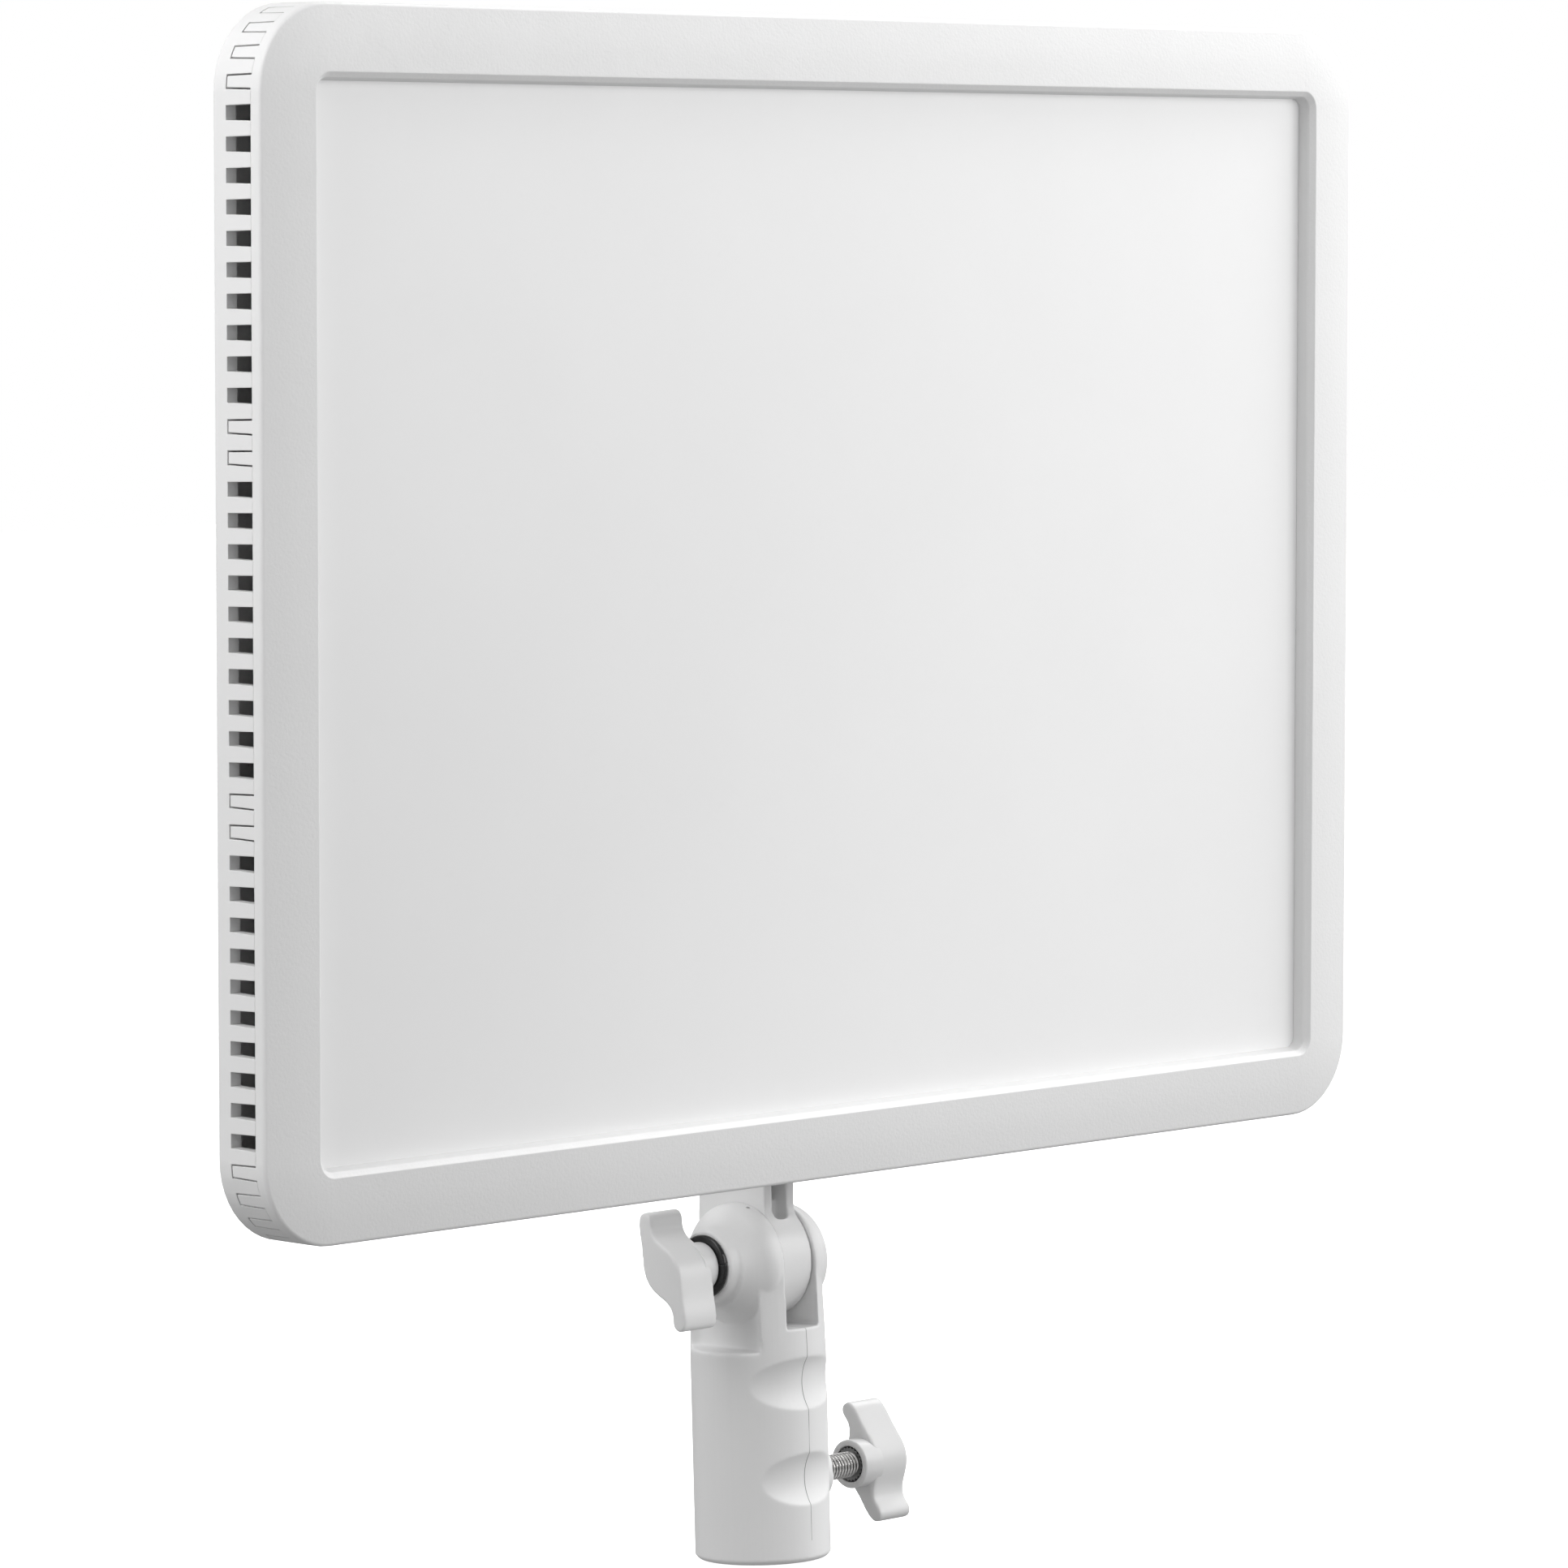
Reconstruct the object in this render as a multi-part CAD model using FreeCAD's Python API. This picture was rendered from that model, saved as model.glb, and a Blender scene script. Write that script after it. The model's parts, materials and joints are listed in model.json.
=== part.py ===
import FreeCAD, Part
import math
import os

# LED panel light on a tilting stand receiver. Millimetres.
# Row frame: the origin is the centre of the stand bore's mouth, +Z runs up the bore,
# and the light shines towards -Y. The head is drawn in its own panel frame (origin at the
# centre of its front plane, +Y towards its back) and HEAD puts it on the receiver.

V = FreeCAD.Vector
X_AXIS, Y_AXIS, Z_AXIS = V(1, 0, 0), V(0, 1, 0), V(0, 0, 1)

# ---- driving dimensions: panel frame ------------------------------------------------
PANEL_W = 360.0
PANEL_H = 266.0
CORNER_R = 19.1
FACE_W = 14.8            # width of the crowned face of the bezel
CROWN = 1.35             # how far the outer edge of the face lies behind the inner edge
LIP_W = 16.6             # panel edge to the visible edge of the diffuser
RECESS = 4.1             # front plane to the diffuser
PARTING_Y = 4.3          # where the bezel's skirt meets the rear housing
RIM_Y = 15.9             # rear edge of the side wall
BACK_Y = 22.0            # flat back plane
BACK_INSET = 26.0        # panel edge to the flat back
HOUSING_WALL = 3.0
BACK_WALL = 2.0
SKIN = 2.0               # bezel skin
SKIRT = 2.4              # thickness of the bezel's skirt and of its fingers

VENT_END_Y = 12.1        # rear end of the vent slots
VENT_PITCH = 6.63
VENT_H_FRONT = 3.55
VENT_H_REAR = 3.1
VENT_GAP = 0.35          # line round a finger that fills a slot
VENT_GROUP = 10          # open slots between two pairs of blank ones
CORNER_VENT_PITCH = 6.54
CORNER_VENTS = 6

TRAY_W, TRAY_H = 338.0, 244.0
TRAY_SIDE, TRAY_EDGE, TRAY_BASE = 3.0, 1.5, 1.5
TRAY_Y0, TRAY_Y1 = 5.8, 12.1
TRAY_CORNER = 8.0
DIFFUSER_T = 1.6
FILM_T = 0.3
GUIDE_T = 4.0
GUIDE_W, GUIDE_H = 329.0, 238.0
LED_COUNT = 26
LED_PITCH = 8.8
LED_SIZE = 3.0

SCREW_INSET = 7.0        # panel edge to the housing screws
SCREW_R = 1.45
SCREW_HOLE_R = 1.5
SCREW_HEAD_R = 2.75
SCREW_HEAD_H = 2.0
BOSS_R = 3.2
BOSS_JOINT_Y = 9.0       # where the bezel's bosses meet the housing's columns
COUNTERBORE_Y = 13.0

POD_W, POD_Z0, POD_Z1 = 150.0, -40.0, 30.0
POD_Y = 34.0             # outer face of the control housing
POD_WALL = 2.0
BOARD_Y, BOARD_T = 24.0, 1.6
WINDOW_W, WINDOW_Z0, WINDOW_Z1 = 60.0, -9.0, 25.0
DIAL_X, DIAL_Z, DIAL_R = 52.0, -4.0, 12.0
SHAFT_R = 3.0
BUTTON_X, BUTTON_Z = 16.0, -25.0
BUTTON_W, BUTTON_H = 14.0, 7.0
JACK_X = 40.0

# ---- driving dimensions: tilt joint and receiver -------------------------------------
PIVOT_Z = 69.8           # row frame, above the mouth of the bore
PIVOT_BACK = 30.4        # pivot behind the panel's front plane
PIVOT_DROP = 22.1        # pivot below the panel's bottom edge
LEAN = 2.0               # degrees that the panel leans forward at rest
TONGUE_R = 13.5
TONGUE_W = 10.0
SLOT_W = 10.4
SLOT_DEPTH = 15.1        # pivot to the floor of the slot
NECK_FRONT, NECK_BACK = 22.8, 44.4
SLEEVE_R = 15.9
BORE_R = 8.1
BORE_DEPTH = 40.0
EAR_ROOT_R = 14.3        # ear beside the slot
EAR_DROP = 0.5           # ears are centred this far below the tilt axis
EAR_X = 11.0             # outer flats of the ears
DENT_X = 8.9             # floor of the dent under each ear
DENT_WALL_R = 4.0        # its coved walls
WEB_TOP_R = 15.2         # the web narrows from the sleeve's radius to this
SHOULDER_DROP = 20.1     # pivot to the top of the round sleeve
SCALLOP_DROPS = (27.9, 50.3)
KNOB_SEAT_X, KNOB_SEAT_R = 16.8, 8.0
BOLT_SEAT_X, BOLT_SEAT_R = 14.0, 8.0
BOLT_R = 2.95
HEX_AF, HEX_HEIGHT = 9.9, 4.0
INSERT_R = 4.0           # both brass inserts
LOCK_INSERT_X = 9.2
RUNNING = 0.05           # radial clearance of a running fit
LOCK_Z = 17.8
LOCK_BOSS_R, LOCK_BOSS_X = 7.5, 17.0

KNOB_BODY_T = 10.9       # axial thickness of the wings
KNOB_COLLAR_R, KNOB_COLLAR_T = 5.8, 4.0
TILT_KNOB_X = -16.5      # origin of the tilt knob
TILT_COLLAR_CUT = 1.65   # what its collar is shorter by
INSERT_END = 12.5        # depth of its insert, from its origin
WASHER_X, WASHER_T, WASHER_R = -18.0, 1.2, 7.4
KNURL_R, KNURL_ROOT_R, KNURL_TEETH, KNURL_DEPTH = 4.2, 3.75, 24, 7.0
LOCK_COLLAR_X = 29.8
LOCK_TURN = -42.7        # rest angle of the lock knob about its screw
KNOB_FILLET = 1.0
WING_TIP_R = 1.75
WING_TIP = (5.15, 11.6)   # centre of the round tip, along Y and Z

PIVOT = V(0, PIVOT_BACK, -PANEL_H / 2 - PIVOT_DROP)
HEAD = FreeCAD.Placement(V(0, 0, PIVOT_Z), FreeCAD.Rotation(X_AXIS, LEAN)).multiply(
    FreeCAD.Placement(PIVOT.negative(), FreeCAD.Rotation()))


# ---- small helpers -------------------------------------------------------------------
def box(x0, x1, y0, y1, z0, z1):
    return Part.makeBox(x1 - x0, y1 - y0, z1 - z0, V(x0, y0, z0))


def rod(start, axis, radius, length):
    return Part.makeCylinder(radius, length, start, axis)


def tube(start, axis, outer, inner, length):
    return rod(start, axis, outer, length).cut(rod(start, axis, inner, length))


def joined(shapes):
    """Fuse shapes into one solid and merge its coplanar faces."""
    return shapes[0].fuse(shapes[1:]).removeSplitter()


def rounded_rect(half_w, half_h, radius, y):
    """Wire of a rounded rectangle in the plane Y = y, centred on the Y axis."""
    edges = []
    k = radius * (1 - math.sqrt(0.5))
    corners = [(1, 1), (-1, 1), (-1, -1), (1, -1)]
    for i, (sx, sz) in enumerate(corners):
        on_side = V(sx * half_w, y, sz * (half_h - radius))
        on_end = V(sx * (half_w - radius), y, sz * half_h)
        mid = V(sx * (half_w - k), y, sz * (half_h - k))
        first, last = (on_side, on_end) if sx * sz > 0 else (on_end, on_side)
        nx, nz = corners[(i + 1) % 4]
        straight_to = V(nx * (half_w - radius), y, nz * half_h) if sx * sz > 0 else V(
            nx * half_w, y, nz * (half_h - radius))
        edges += [Part.Arc(first, mid, last).toShape(), Part.makeLine(last, straight_to)]
    return Part.Wire(edges)


def slab(half_w, half_h, radius, y0, y1):
    face = Part.Face(rounded_rect(half_w, half_h, radius, y0))
    return face.extrude(V(0, y1 - y0, 0))


def inset_slab(inset, y0, y1):
    """Slab with the panel's outline, its edge set in all round."""
    return slab(PANEL_W / 2 - inset, PANEL_H / 2 - inset, CORNER_R - inset, y0, y1)


def edge_place(s):
    """Placement of the point at distance s round the panel's edge, from the middle of the
    left side upwards: local +X points into the panel and local +Z along the edge."""
    straight_z = PANEL_H / 2 - CORNER_R
    straight_x = PANEL_W / 2 - CORNER_R
    arc = CORNER_R * math.pi / 2
    if s <= straight_z:
        point, turn = V(-PANEL_W / 2, 0, s), 0.0
    elif s <= straight_z + arc:
        turn = (s - straight_z) / CORNER_R
        point = V(-straight_x - CORNER_R * math.cos(turn), 0,
                  straight_z + CORNER_R * math.sin(turn))
    else:
        point = V(-straight_x + s - straight_z - arc, 0, PANEL_H / 2)
        turn = math.pi / 2
    tilt = FreeCAD.Rotation(Y_AXIS, math.degrees(turn))
    return FreeCAD.Placement(point, tilt)


def vent_cutter(s, shrink):
    """Tapered block through the side wall at edge distance s, smaller by shrink all round."""
    front, rear = VENT_H_FRONT / 2 - shrink, VENT_H_REAR / 2 - shrink
    y0, y1 = PARTING_Y - 1.0, VENT_END_Y - shrink
    reach = HOUSING_WALL + 2.0
    outline = [V(-1, y0, -front), V(-1, y1, -rear), V(-1, y1, rear), V(-1, y0, front)]
    face = Part.Face(Part.makePolygon(outline + outline[:1]))
    block = face.extrude(V(reach + 1.0, 0, 0))
    block.Placement = edge_place(s)
    return block


def four_ways(shapes):
    """The shapes of the upper left quarter, copied to all four quarters."""
    right = [s.mirror(V(0, 0, 0), X_AXIS) for s in shapes]
    upper = list(shapes) + right
    return upper + [s.mirror(V(0, 0, 0), Z_AXIS) for s in upper]


def vent_places():
    """(open, blank) edge distances in the upper left quarter."""
    open_at, blank_at = [], []
    period = VENT_GROUP + 2
    side = 3 * VENT_GROUP + 4
    top = 4 * VENT_GROUP + 6
    for i in range(side // 2, side):
        s = (i - (side - 1) / 2) * VENT_PITCH
        (open_at if i % period < VENT_GROUP else blank_at).append(s)
    last = open_at[-1]
    blank_at += [last + CORNER_VENT_PITCH * k for k in range(1, CORNER_VENTS + 1)]
    middle = PANEL_H / 2 - CORNER_R + CORNER_R * math.pi / 2 + PANEL_W / 2 - CORNER_R
    for i in range(top // 2):
        s = middle + (i - (top - 1) / 2) * VENT_PITCH
        (open_at if i % period < VENT_GROUP else blank_at).append(s)
    return open_at, blank_at


def screw_points():
    """(x, z) of the housing screws: the corners, and behind the blank vents."""
    x, z = PANEL_W / 2 - SCREW_INSET, PANEL_H / 2 - SCREW_INSET
    diagonal = (CORNER_R - SCREW_INSET) * math.sqrt(0.5)
    corner = (PANEL_W / 2 - CORNER_R + diagonal, PANEL_H / 2 - CORNER_R + diagonal)
    blank_pair = (VENT_GROUP + 2) * VENT_PITCH
    quarter = [corner, (x, blank_pair / 2), (blank_pair, z)]
    return [(sx * a, sz * b) for a, b in quarter for sx in (-1, 1) for sz in (-1, 1)]


# ---- head: front frame and rear shell ------------------------------------------------
def bezel_section(origin, outward):
    """Face of the bezel's wall section. origin lies on the panel edge, at Y = 0."""
    def at(u, y):
        return origin - outward * u + Y_AXIS * y

    def line(a, b):
        return Part.makeLine(at(*a), at(*b))

    def arc(a, b, c):
        return Part.Arc(at(*a), at(*b), at(*c)).toShape()

    edge = CROWN - 0.05
    rim, shoulder = (0, edge + 1.0), (0.95, edge)
    inner_edge, chamfer = (FACE_W, 0), (FACE_W + 1.2, 1.2)
    tip, heel = (LIP_W, RECESS), (LIP_W - 3.6, RECESS)
    under, inner_rim = (LIP_W - 3.6, SKIN + 0.3), (SKIRT, edge + SKIN)
    return Part.Face(Part.Wire([
        line((0, PARTING_Y), rim), arc(rim, (0.28, edge + 0.28), shoulder),
        arc(shoulder, (FACE_W / 2, 0.42), inner_edge), line(inner_edge, chamfer),
        line(chamfer, tip), line(tip, heel), line(heel, under), line(under, inner_rim),
        line(inner_rim, (SKIRT, PARTING_Y)), line((SKIRT, PARTING_Y), (0, PARTING_Y))]))


def bezel_ring():
    half_x, half_z = PANEL_W / 2, PANEL_H / 2
    run_x, run_z = PANEL_W - 2 * CORNER_R, PANEL_H - 2 * CORNER_R
    pieces = []
    for sx in (-1, 1):
        start = V(sx * half_x, 0, -run_z / 2)
        pieces.append(bezel_section(start, V(sx, 0, 0)).extrude(V(0, 0, run_z)))
    for sz in (-1, 1):
        start = V(-run_x / 2, 0, sz * half_z)
        pieces.append(bezel_section(start, V(0, 0, sz)).extrude(V(run_x, 0, 0)))
    for sx in (-1, 1):
        for sz in (-1, 1):
            centre = V(sx * run_x / 2, 0, sz * run_z / 2)
            section = bezel_section(centre + V(sx * CORNER_R, 0, 0), V(sx, 0, 0))
            pieces.append(section.revolve(centre, Y_AXIS, -90 * sx * sz))
    return joined(pieces)


def front_bezel(blank_at):
    wall = inset_slab(0, PARTING_Y, VENT_END_Y).cut(inset_slab(SKIRT, PARTING_Y, VENT_END_Y))
    fingers = wall.common(Part.makeCompound(
        four_ways([vent_cutter(s, VENT_GAP) for s in blank_at])))
    bosses = [rod(V(x, SKIN, z), Y_AXIS, BOSS_R, BOSS_JOINT_Y - SKIN)
              for x, z in screw_points()]
    holes = [rod(V(x, SKIN + 1.4, z), Y_AXIS, SCREW_HOLE_R, BOSS_JOINT_Y)
             for x, z in screw_points()]
    return bezel_ring().fuse(bosses + fingers.Solids).cut(holes)


def shell_body(inset, y0, rim_y, back_y, back_radius):
    """Slab up to rim_y, then a sloping part in to the flat back."""
    rim = inset_slab(inset, y0, rim_y)
    half_w, half_h = PANEL_W / 2, PANEL_H / 2
    slope = Part.makeLoft([
        rounded_rect(half_w - inset, half_h - inset, CORNER_R - inset, rim_y),
        rounded_rect(half_w - BACK_INSET - inset, half_h - BACK_INSET - inset,
                     back_radius, back_y)], True, True)
    return rim.fuse(slope)


def rear_housing(open_at, blank_at):
    outer = shell_body(0, PARTING_Y, RIM_Y, BACK_Y, 14.0)
    inner = shell_body(HOUSING_WALL, PARTING_Y, RIM_Y - 1.6, BACK_Y - BACK_WALL, 12.0)
    columns = [rod(V(x, BOSS_JOINT_Y, z), Y_AXIS, BOSS_R + 0.3, BACK_Y)
               for x, z in screw_points()]
    pillars = [rod(V(sx * 130, TRAY_Y1, sz * 80), Y_AXIS, 4.0, BACK_Y - TRAY_Y1 - 1)
               for sx in (-1, 1) for sz in (-1, 1)]
    shell = outer.cut(inner).fuse([c.common(outer) for c in columns] + pillars)
    slots = four_ways([vent_cutter(s, 0) for s in open_at + blank_at])
    through = [rod(V(x, 0, z), Y_AXIS, SCREW_HOLE_R + 0.2, BACK_Y + 1)
               for x, z in screw_points()]
    through += [rod(V(x, COUNTERBORE_Y, z), Y_AXIS, SCREW_HEAD_R + 0.25, BACK_Y)
                for x, z in screw_points()]
    through += [rod(p, Y_AXIS, 2.2, BACK_WALL + 2) for p in flange_points(BACK_Y - 3)]
    through.append(box(-POD_W / 2 + 7, POD_W / 2 - 7, BACK_Y - 3, BACK_Y + 1,
                       POD_Z0 + 6, POD_Z1 - 6))
    through += [rod(V(x, BACK_Y - 3, z), Y_AXIS, 1.7, 5) for x, z in cover_points()]
    return shell.cut(Part.makeCompound(slots)).cut(through)


def housing_screws():
    screws = []
    for x, z in screw_points():
        head = rod(V(x, COUNTERBORE_Y, z), Y_AXIS, SCREW_HEAD_R, SCREW_HEAD_H)
        slot = joined([box(x - 1.6, x + 1.6, 0, 30, z - 0.35, z + 0.35),
                       box(x - 0.35, x + 0.35, 0, 30, z - 1.6, z + 1.6)])
        slot = slot.common(rod(V(x, COUNTERBORE_Y + 0.8, z), Y_AXIS, SCREW_HEAD_R, 9))
        shank = rod(V(x, SKIN + 2.0, z), Y_AXIS, SCREW_R, COUNTERBORE_Y - SKIN - 2.0)
        screws.append(head.fuse(shank).cut(slot))
    return Part.makeCompound(screws)


# ---- head: optical stack and tray ----------------------------------------------------
def diffuser_plate():
    return slab(PANEL_W / 2 - 11.5, PANEL_H / 2 - 11.5, 8.0, RECESS, RECESS + DIFFUSER_T)


def stack_sheet(thickness, y):
    return box(-GUIDE_W / 2, GUIDE_W / 2, y, y + thickness, -GUIDE_H / 2, GUIDE_H / 2)


def heat_sink_tray():
    half_w, half_h = TRAY_W / 2, TRAY_H / 2
    tray = box(-half_w, half_w, TRAY_Y0, TRAY_Y1, -half_h, half_h)
    upright = [e for e in tray.Edges if abs(e.tangentAt(0).y) > 0.9]
    tray = tray.makeChamfer(TRAY_CORNER, upright)
    pocket = box(-half_w + TRAY_SIDE, half_w - TRAY_SIDE, 0, TRAY_Y1 - TRAY_BASE,
                 -half_h + TRAY_EDGE, half_h - TRAY_EDGE)
    lead_slots = [box(sx * 164 - 1.6, sx * 164 + 1.6, 0, 30, -5, 5) for sx in (-1, 1)]
    return tray.cut([pocket] + lead_slots)


def led_strip(side):
    x = side * (TRAY_W / 2 - TRAY_SIDE - 0.4)
    return box(x - 0.4, x + 0.4, 6.2, 10.4, -114.5, 114.5)


def led_chips(side):
    x = side * (TRAY_W / 2 - TRAY_SIDE - 1.1)
    chips = []
    for i in range(LED_COUNT):
        z = (i - (LED_COUNT - 1) / 2) * LED_PITCH
        if abs(z) > 5.5 + LED_SIZE / 2:
            chips.append(box(x - 0.3, x + 0.3, 6.8, 6.8 + LED_SIZE,
                             z - LED_SIZE / 2, z + LED_SIZE / 2))
    return Part.makeCompound(chips)


def led_harness():
    leads = []
    for side in (-1, 1):
        x0, x1 = sorted((side * 60, side * 165.1))
        run = box(x0, x1, TRAY_Y1, TRAY_Y1 + 0.5, -4, 4)
        x0, x1 = sorted((side * 164.6, side * 165.1))
        leads.append(joined([run, box(x0, x1, 7.0, TRAY_Y1 + 0.3, -4, 4)]))
        x0, x1 = sorted((side * 60, side * 60.5))
        leads[-1] = joined([leads[-1], box(x0, x1, TRAY_Y1, 14.6, -4, 44)])
    return Part.makeCompound(leads)


# ---- head: driver --------------------------------------------------------------------
def driver_points():
    return [(sx * 56, z) for sx in (-1, 1) for z in (44, 96)]


def driver_board():
    board = box(-62, 62, 14.6, 14.6 + BOARD_T, 39, 101)
    return board.cut([rod(V(x, 10, z), Y_AXIS, 1.6, 10) for x, z in driver_points()])


def driver_components():
    y = 14.6 + BOARD_T
    coils = [box(x - 6, x + 6, y, y + 3.4, 74, 86) for x in (-36, -12, 12, 36)]
    chips = [box(x - 4, x + 4, y, y + 1.6, 56, 64) for x in (-24, 0, 24)]
    capacitors = [rod(V(x, y, 50), Y_AXIS, 3.2, 3.0) for x in (-44, -12, 12, 44)]
    return Part.makeCompound(coils + chips + capacitors)


def driver_standoffs():
    return Part.makeCompound([tube(V(x, TRAY_Y1, z), Y_AXIS, 2.8, 1.25, 14.6 - TRAY_Y1)
                              for x, z in driver_points()])


def small_screws(points, seat_y, depth, sign):
    """M2.5 pan head screws: head on the side sign of seat_y, shank the other way."""
    made = []
    for x, z in points:
        head = rod(V(x, seat_y, z), Y_AXIS * sign, 2.2, 1.3)
        shank = rod(V(x, seat_y, z), Y_AXIS * -sign, 1.2, depth)
        made.append(joined([head, shank]))
    return Part.makeCompound(made)


# ---- head: tilt arm ------------------------------------------------------------------
def flange_points(y):
    return [V(sx * 20, y, z) for sx in (-1, 1) for z in (-100, -66)]


def arm_profile():
    """Side outline of neck, tongue and beam, in the plane X = 0, as a wire."""
    py, pz = PIVOT.y, PIVOT.z
    blend = 5.0
    dy = NECK_FRONT - blend - py
    reach = TONGUE_R + blend
    dz = math.sqrt(reach ** 2 - dy ** 2)
    front_top = V(0, NECK_FRONT, -62)
    on_neck = V(0, NECK_FRONT, pz + dz)
    on_disc = V(0, py + dy * TONGUE_R / reach, pz + dz * TONGUE_R / reach)
    middle = math.atan2((on_neck.z + on_disc.z) / 2 - (pz + dz),
                        (on_neck.y + on_disc.y) / 2 - (py + dy))
    blend_mid = V(0, py + dy + blend * math.cos(middle), pz + dz + blend * math.sin(middle))
    back_low = V(0, NECK_BACK, pz + 8.4)
    corner = back_low - PIVOT
    away = math.hypot(corner.y, corner.z)
    angle = math.atan2(corner.z, corner.y) - math.acos(TONGUE_R / away)
    on_back = V(0, py + TONGUE_R * math.cos(angle), pz + TONGUE_R * math.sin(angle))
    bottom = V(0, py, pz - TONGUE_R)
    back_high = V(0, NECK_BACK, -122)
    beam_top = V(0, BACK_Y + 6, -62)
    sag = V(0, (NECK_BACK + BACK_Y + 6) / 2 - 2.5, -92)
    return Part.Wire([
        Part.makeLine(front_top, on_neck), Part.Arc(on_neck, blend_mid, on_disc).toShape(),
        Part.Arc(on_disc, bottom, on_back).toShape(), Part.makeLine(on_back, back_low),
        Part.makeLine(back_low, back_high), Part.Arc(back_high, sag, beam_top).toShape(),
        Part.makeLine(beam_top, front_top)])


def tilt_arm():
    beam = Part.Face(arm_profile()).extrude(V(TONGUE_W, 0, 0))
    beam.translate(V(-TONGUE_W / 2, 0, 0))
    flange = slab(28, 26, 7, BACK_Y, BACK_Y + 6)
    flange.translate(V(0, 0, -83))
    ribs = []
    for x in (-12.5, 12.5):
        outline = [V(x - 1.5, BACK_Y + 5, -108), V(x - 1.5, BACK_Y + 12, -104),
                   V(x - 1.5, BACK_Y + 5, -62)]
        ribs.append(Part.Face(Part.makePolygon(outline + outline[:1])).extrude(V(3, 0, 0)))
    pocket_top = -PANEL_H / 2 + 14
    pocket_end = PIVOT.z + 12
    pocket = joined([
        box(-2.4, 2.4, NECK_FRONT - 1, NECK_FRONT + 9, pocket_end, pocket_top),
        rod(V(0, NECK_FRONT - 1, pocket_end), Y_AXIS, 2.4, 10)])
    arm = joined([beam, flange] + ribs).cut(pocket)
    arm = arm.cut(rod(PIVOT - X_AXIS * 20, X_AXIS, BOLT_R + RUNNING, 40))
    holes = [rod(p, Y_AXIS, 2.2, 20) for p in flange_points(BACK_Y - 1)]
    return arm.cut(holes)


def arm_screws():
    made = []
    for p in flange_points(BACK_Y + 6):
        head = rod(p, Y_AXIS, 3.6, 2.6)
        socket = rod(p + Y_AXIS * 1.2, Y_AXIS, 1.5, 3)
        shank = rod(p - Y_AXIS * 10, Y_AXIS, 1.95, 10)
        made.append(head.fuse(shank).cut(socket))
    return Part.makeCompound(made)


def arm_backing_plate():
    inside = BACK_Y - BACK_WALL
    plate = box(-27, 27, inside - 2, inside, -103.5, -60)
    return plate.cut([rod(p, Y_AXIS, 2.0, 20) for p in flange_points(inside - 10)])


# ---- head: control housing on the back -----------------------------------------------
def cover_points():
    return [(sx * (POD_W / 2 - 4.5), z) for sx in (-1, 1) for z in (POD_Z0 + 4.5, POD_Z1 - 4.5)]


def board_points():
    return [(sx * 62, z) for sx in (-1, 1) for z in (-29, 19)]


def pod_slab(inset, radius, y0, y1):
    body = slab(POD_W / 2 - inset, (POD_Z1 - POD_Z0) / 2 - inset, radius, y0, y1)
    body.translate(V(0, 0, (POD_Z0 + POD_Z1) / 2))
    return body


def obround(x, z, width, height, y0, y1):
    r = height / 2
    flat = width / 2 - r
    return joined([box(x - flat, x + flat, y0, y1, z - r, z + r),
                   rod(V(x - flat, y0, z), Y_AXIS, r, y1 - y0),
                   rod(V(x + flat, y0, z), Y_AXIS, r, y1 - y0)])


def window_slab(clear, y0, y1):
    body = slab(WINDOW_W / 2 + clear, (WINDOW_Z1 - WINDOW_Z0) / 2 + clear, 3 + clear, y0, y1)
    body.translate(V(0, 0, (WINDOW_Z0 + WINDOW_Z1) / 2))
    return body


def control_cover():
    outer = pod_slab(0, 9, BACK_Y, POD_Y)
    rear = [e for e in outer.Edges if e.BoundBox.YMin > POD_Y - 0.1]
    outer = outer.makeFillet(2.5, rear)
    cover = outer.cut(pod_slab(POD_WALL, 7, BACK_Y, POD_Y - POD_WALL))
    posts = [rod(V(x, BOARD_Y + BOARD_T, z), Y_AXIS, 2.6, POD_Y - 1 - BOARD_Y - BOARD_T)
             for x, z in board_points()]
    corners = [rod(V(x, BACK_Y, z), Y_AXIS, 3.4, POD_Y - 3 - BACK_Y)
               for x, z in cover_points()]
    cover = cover.fuse(posts + [c.common(outer) for c in corners])
    cuts = [rod(V(x, BACK_Y - 1, z), Y_AXIS, 1.25, 9) for x, z in cover_points()]
    cuts += [rod(V(x, BOARD_Y, z), Y_AXIS, 1.25, 7) for x, z in board_points()]
    cuts += [rod(V(sx * DIAL_X, 20, DIAL_Z), Y_AXIS, 4.0, 20) for sx in (-1, 1)]
    cuts += [obround(sx * BUTTON_X, BUTTON_Z, BUTTON_W + 0.6, BUTTON_H + 0.6, 29, 40)
             for sx in (-1, 1)]
    cuts.append(window_slab(0.1, POD_Y - 1.2, POD_Y + 1))
    cuts.append(box(-WINDOW_W / 2 + 3, WINDOW_W / 2 - 3, 30, 40,
                    WINDOW_Z0 + 3, WINDOW_Z1 - 3))
    cuts.append(rod(V(JACK_X, 28, POD_Z0 - 1), Z_AXIS, 4.2, 4))
    return cover.cut(cuts)


def control_board():
    board = box(-67, 67, BOARD_Y, BOARD_Y + BOARD_T, -32, 23)
    cuts = [rod(V(x, 20, z), Y_AXIS, 1.5, 10) for x, z in board_points()]
    cuts.append(box(JACK_X - 5, JACK_X + 5, 20, 30, -40, -26))
    return board.cut(cuts)


def display_module():
    y = BOARD_Y + BOARD_T
    return box(-26.5, 26.5, y, POD_Y - POD_WALL - 0.2, WINDOW_Z0 + 3.5, WINDOW_Z1 - 3.5)


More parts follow.
